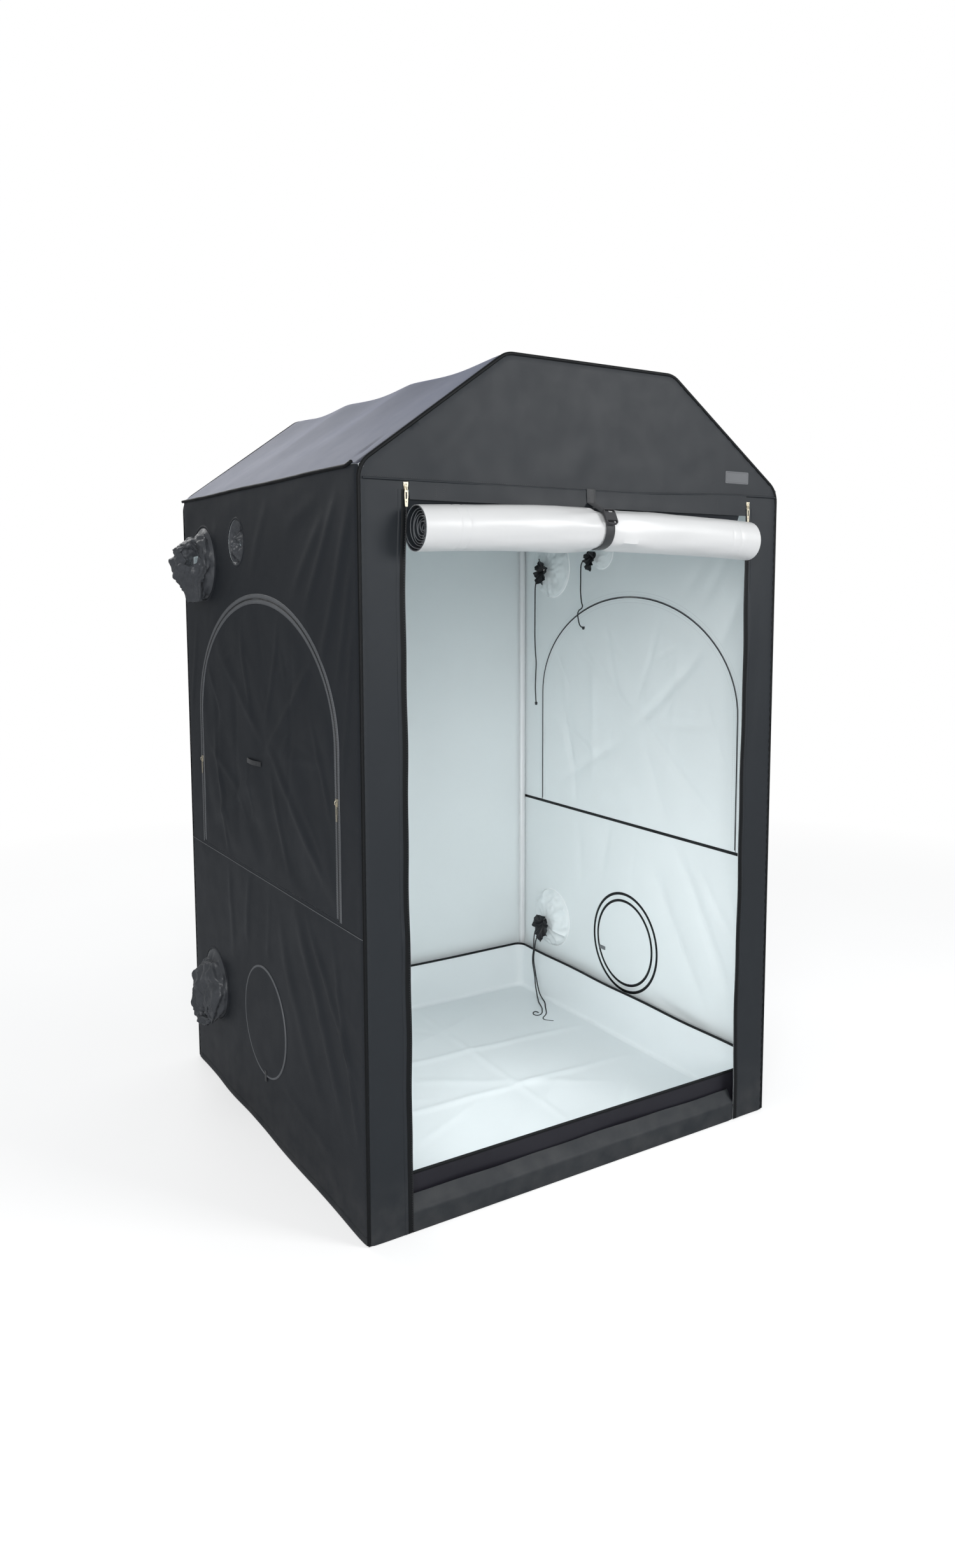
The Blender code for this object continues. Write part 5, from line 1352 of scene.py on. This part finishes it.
def roll_layer(name, drops, material, recess):
    """A skin of the rolled door, between two depths under its outer face."""
    near = np.linspace(-0.13, 0.13, 53)
    ends = np.concatenate([np.linspace(0.145, 0.364, 16), np.arange(0.3685, 0.407, 0.00275),
                           np.linspace(0.411, 0.464, 9)])
    left = np.concatenate([np.linspace(0.145, 0.368, 16), np.arange(0.3735, 0.4065, 0.0025),
                           np.linspace(0.412, 0.470, 8), np.linspace(0.475, 0.484, 8)])
    xs = np.concatenate([-left[::-1], near, ends])
    turns = np.linspace(0, ROLL_TURNS * math.tau, int(ROLL_TURNS * 30) + 1)
    skins = [roll_grid(xs, turns, drop) for drop in drops]
    tail = []
    for drop, grid in zip(drops, skins):
        leave = grid[:, 0]
        foot = np.array(TAIL_FOOT) - (drop, 0)
        turn_in = foot - (0, 0.020)
        ts = np.linspace(0, 1, 8)[None, :-1, None]
        above = leave + np.array([0, 0.030])
        run = (foot * (1 - ts) ** 3 + 3 * turn_in * ts * (1 - ts) ** 2
               + 3 * above[:, None, :] * ts ** 2 * (1 - ts) + leave[:, None, :] * ts ** 3)
        top = np.tile([TAIL_TOP[0] - drop, TAIL_TOP[1]], (len(xs), 1, 1))
        tail.append(np.concatenate([top, run, grid], axis=1))
    count = tail[0].shape[1]
    wound = np.concatenate([np.zeros(count - len(turns)), turns / math.tau])
    short = set_back(wound, recess)
    rows = []
    for n, x in enumerate(xs):
        drawn_in = ROLL_PLACE + (x - ROLL_PLACE) * (1 - short / ROLL_HALF)
        ring = np.concatenate([np.column_stack([drawn_in, tail[0][n]]),
                               np.column_stack([drawn_in, tail[1][n]])[::-1]])
        rows.append(ring)
    faces = skin(rows, False)[:-2]
    around = 2 * count
    for base, flip in ((0, False), ((len(rows) - 1) * around, True)):
        for k in range(count - 1):
            quad = (base + k, base + k + 1, base + around - 2 - k, base + around - 1 - k)
            faces.append(quad[::-1] if flip else quad)
    return make(name, np.concatenate(rows), faces, material)


for name, drops, material, slot, recess, node in (
        ("front_door_lining", (0.0, 0.0007), door_lining, "lining", 0.0105, "front_door_roll"),
        ("front_door_canvas", (0.0008, 0.0021), canvas, "canvas", 0.0085, None)):
    made = roll_layer(name, drops, material, recess)
    dress(made, node=node)
turns = np.linspace(0.02, ROLL_TURNS, 300) * math.tau
for side, sign in SIDES.items():
    edge = roll_grid([ROLL_PLACE + sign * (ROLL_HALF - 0.0002)], turns, 0.0014)[0]
    line = np.column_stack([ROLL_PLACE + sign * (ROLL_HALF - set_back(turns / math.tau, 0.0085)), edge])
    tube(f"front_door_edge_{side}", line, 0.0011, zip_tape, sides=6)

# Strap
def tangent(middle, radius, point, sign):
    away = np.array(point) - middle
    return math.atan2(away[1], away[0]) + sign * math.acos(radius / np.linalg.norm(away))


strap_middle = np.array([ROLL_Y, float(roll_middle(ROLL_PLACE))])
STRAP_ROUND = ROLL_RADIUS * float(roll_size(ROLL_PLACE)) + 0.0016
HEADER_TOP = (-0.6052, 1.664)
PARTING = (-0.6058, 1.632)
UNDER = (-0.5975, 1.6386)
STRAP_END = (-0.5975, 1.668)
first = tangent(strap_middle, STRAP_ROUND, PARTING, 1)
last = tangent(strap_middle, STRAP_ROUND, UNDER, -1) + math.tau
route = [HEADER_TOP, PARTING]
route += [strap_middle + STRAP_ROUND * np.array([math.cos(t), math.sin(t)])
          for t in np.linspace(first, last, 60)]
route = divided([*route, UNDER, STRAP_END], 0.004, closed=False)
lean = np.interp(np.arange(len(route)) / len(route), (0, 0.20, 0.45, 0.65, 0.85, 1),
                 (-0.002, 0.001, 0.001, -0.010, -0.004, 0))
section = ((-0.0125, -0.0003), (-0.0118, -0.0007), (0.0118, -0.0007), (0.0125, -0.0003),
           (0.0125, 0.0003), (0.0118, 0.0007), (-0.0118, 0.0007), (-0.0125, 0.0003))
rows = [[(ROLL_PLACE + shift + x, *(point + way * out)) for x, out in section]
        for point, way, shift in zip(route, normals_of(route), lean)]
made = make("roll_strap_webbing", np.concatenate(rows), skin(rows, False), webbing)
dress(made, node="roll_strap")

# Floor and light

bpy.ops.mesh.primitive_plane_add(size=60, location=(0, 0, -0.0006))
ground_plane = bpy.context.active_object
ground_plane.name = "studio_floor"
g = Graph("studio_floor")
shade = g.range(g.noise(1.5, 2.0), 0.78, 0.80)
g.set(Roughness=0.9, Specular_IOR_Level=0.1, Base_Color=g.mix(shade, (0.0, 0.0, 0.0), (1.0, 1.0, 1.0)))
path = g.add("ShaderNodeLightPath")
away = g.add("ShaderNodeVectorMath", {0: g.place}, operation="LENGTH").outputs["Value"]
far = g.range(away, 0, 1, 1.6, 4.2)
glow = g.add("ShaderNodeEmission", {"Color": (1, 1, 1, 1), "Strength": 1.0})
near_glow = g.add("ShaderNodeEmission", {"Color": (1, 1, 1, 1), "Strength": 0.52})
lit = g.add("ShaderNodeAddShader", {0: g.shader.outputs[0], 1: near_glow.outputs[0]})
seen = g.add("ShaderNodeMixShader", {0: far, 1: lit.outputs[0], 2: glow.outputs[0]})
dull = g.add("ShaderNodeBsdfDiffuse", {"Color": (0.64, 0.65, 0.67, 1)})
mixed = g.add("ShaderNodeMixShader",
              {0: path.outputs["Is Camera Ray"], 1: dull.outputs[0], 2: seen.outputs[0]})
g.links.new(mixed.outputs[0], g.nodes["Material Output"].inputs["Surface"])
ground_plane.data.materials.append(g.material)

world = bpy.data.worlds.new("studio")
bpy.context.scene.world = world
world.use_nodes = True
sky = Tree(world.node_tree)
behind = sky.add("ShaderNodeVectorMath", {0: sky.coordinates["Generated"], 1: (-0.80, 0.60, 0.0)},
                 operation="DOT_PRODUCT").outputs["Value"]
soft = sky.nodes["Background"]
sky.plug(soft, {"Color": (0.95, 0.98, 1.0, 1), "Strength": sky.range(behind, 0.36, 0.20, 0.1, 0.8)})
white = sky.add("ShaderNodeBackground", {"Color": (1, 1, 1, 1), "Strength": 1.0})
path = sky.add("ShaderNodeLightPath")
either = sky.math("MAXIMUM", path.outputs["Is Camera Ray"], path.outputs["Is Transmission Ray"])
pick = sky.add("ShaderNodeMixShader", {0: either, 1: soft.outputs[0], 2: white.outputs[0]})
sky.plug(sky.nodes["World Output"], {"Surface": pick.outputs[0]})


def area_light(name, place, target, size, power):
    light = bpy.data.lights.new(name, "AREA")
    light.shape = "SQUARE"
    light.size = size
    light.energy = power
    obj = bpy.data.objects.new(name, light)
    obj.location = place
    obj.rotation_euler = (Vector(target) - Vector(place)).to_track_quat("-Z", "Y").to_euler()
    obj.visible_camera = False
    bpy.context.scene.collection.objects.link(obj)


area_light("key", (1.7, -3.2, 2.5), (0, 0, 1.1), 1.2, 46)
area_light("fill", (-2.6, -3.9, 2.10), (0.2, 0.2, 0.8), 2.2, 86)
area_light("top_back", (-0.6, 3.2, 3.6), (0, 0, 1.7), 2.6, 44)
area_light("inside", (-0.30, -0.42, 0.62), (0.60, -0.05, 0.20), 0.35, 2.9)

bpy.context.scene.view_settings.view_transform = "Standard"

bpy.context.view_layer.update()
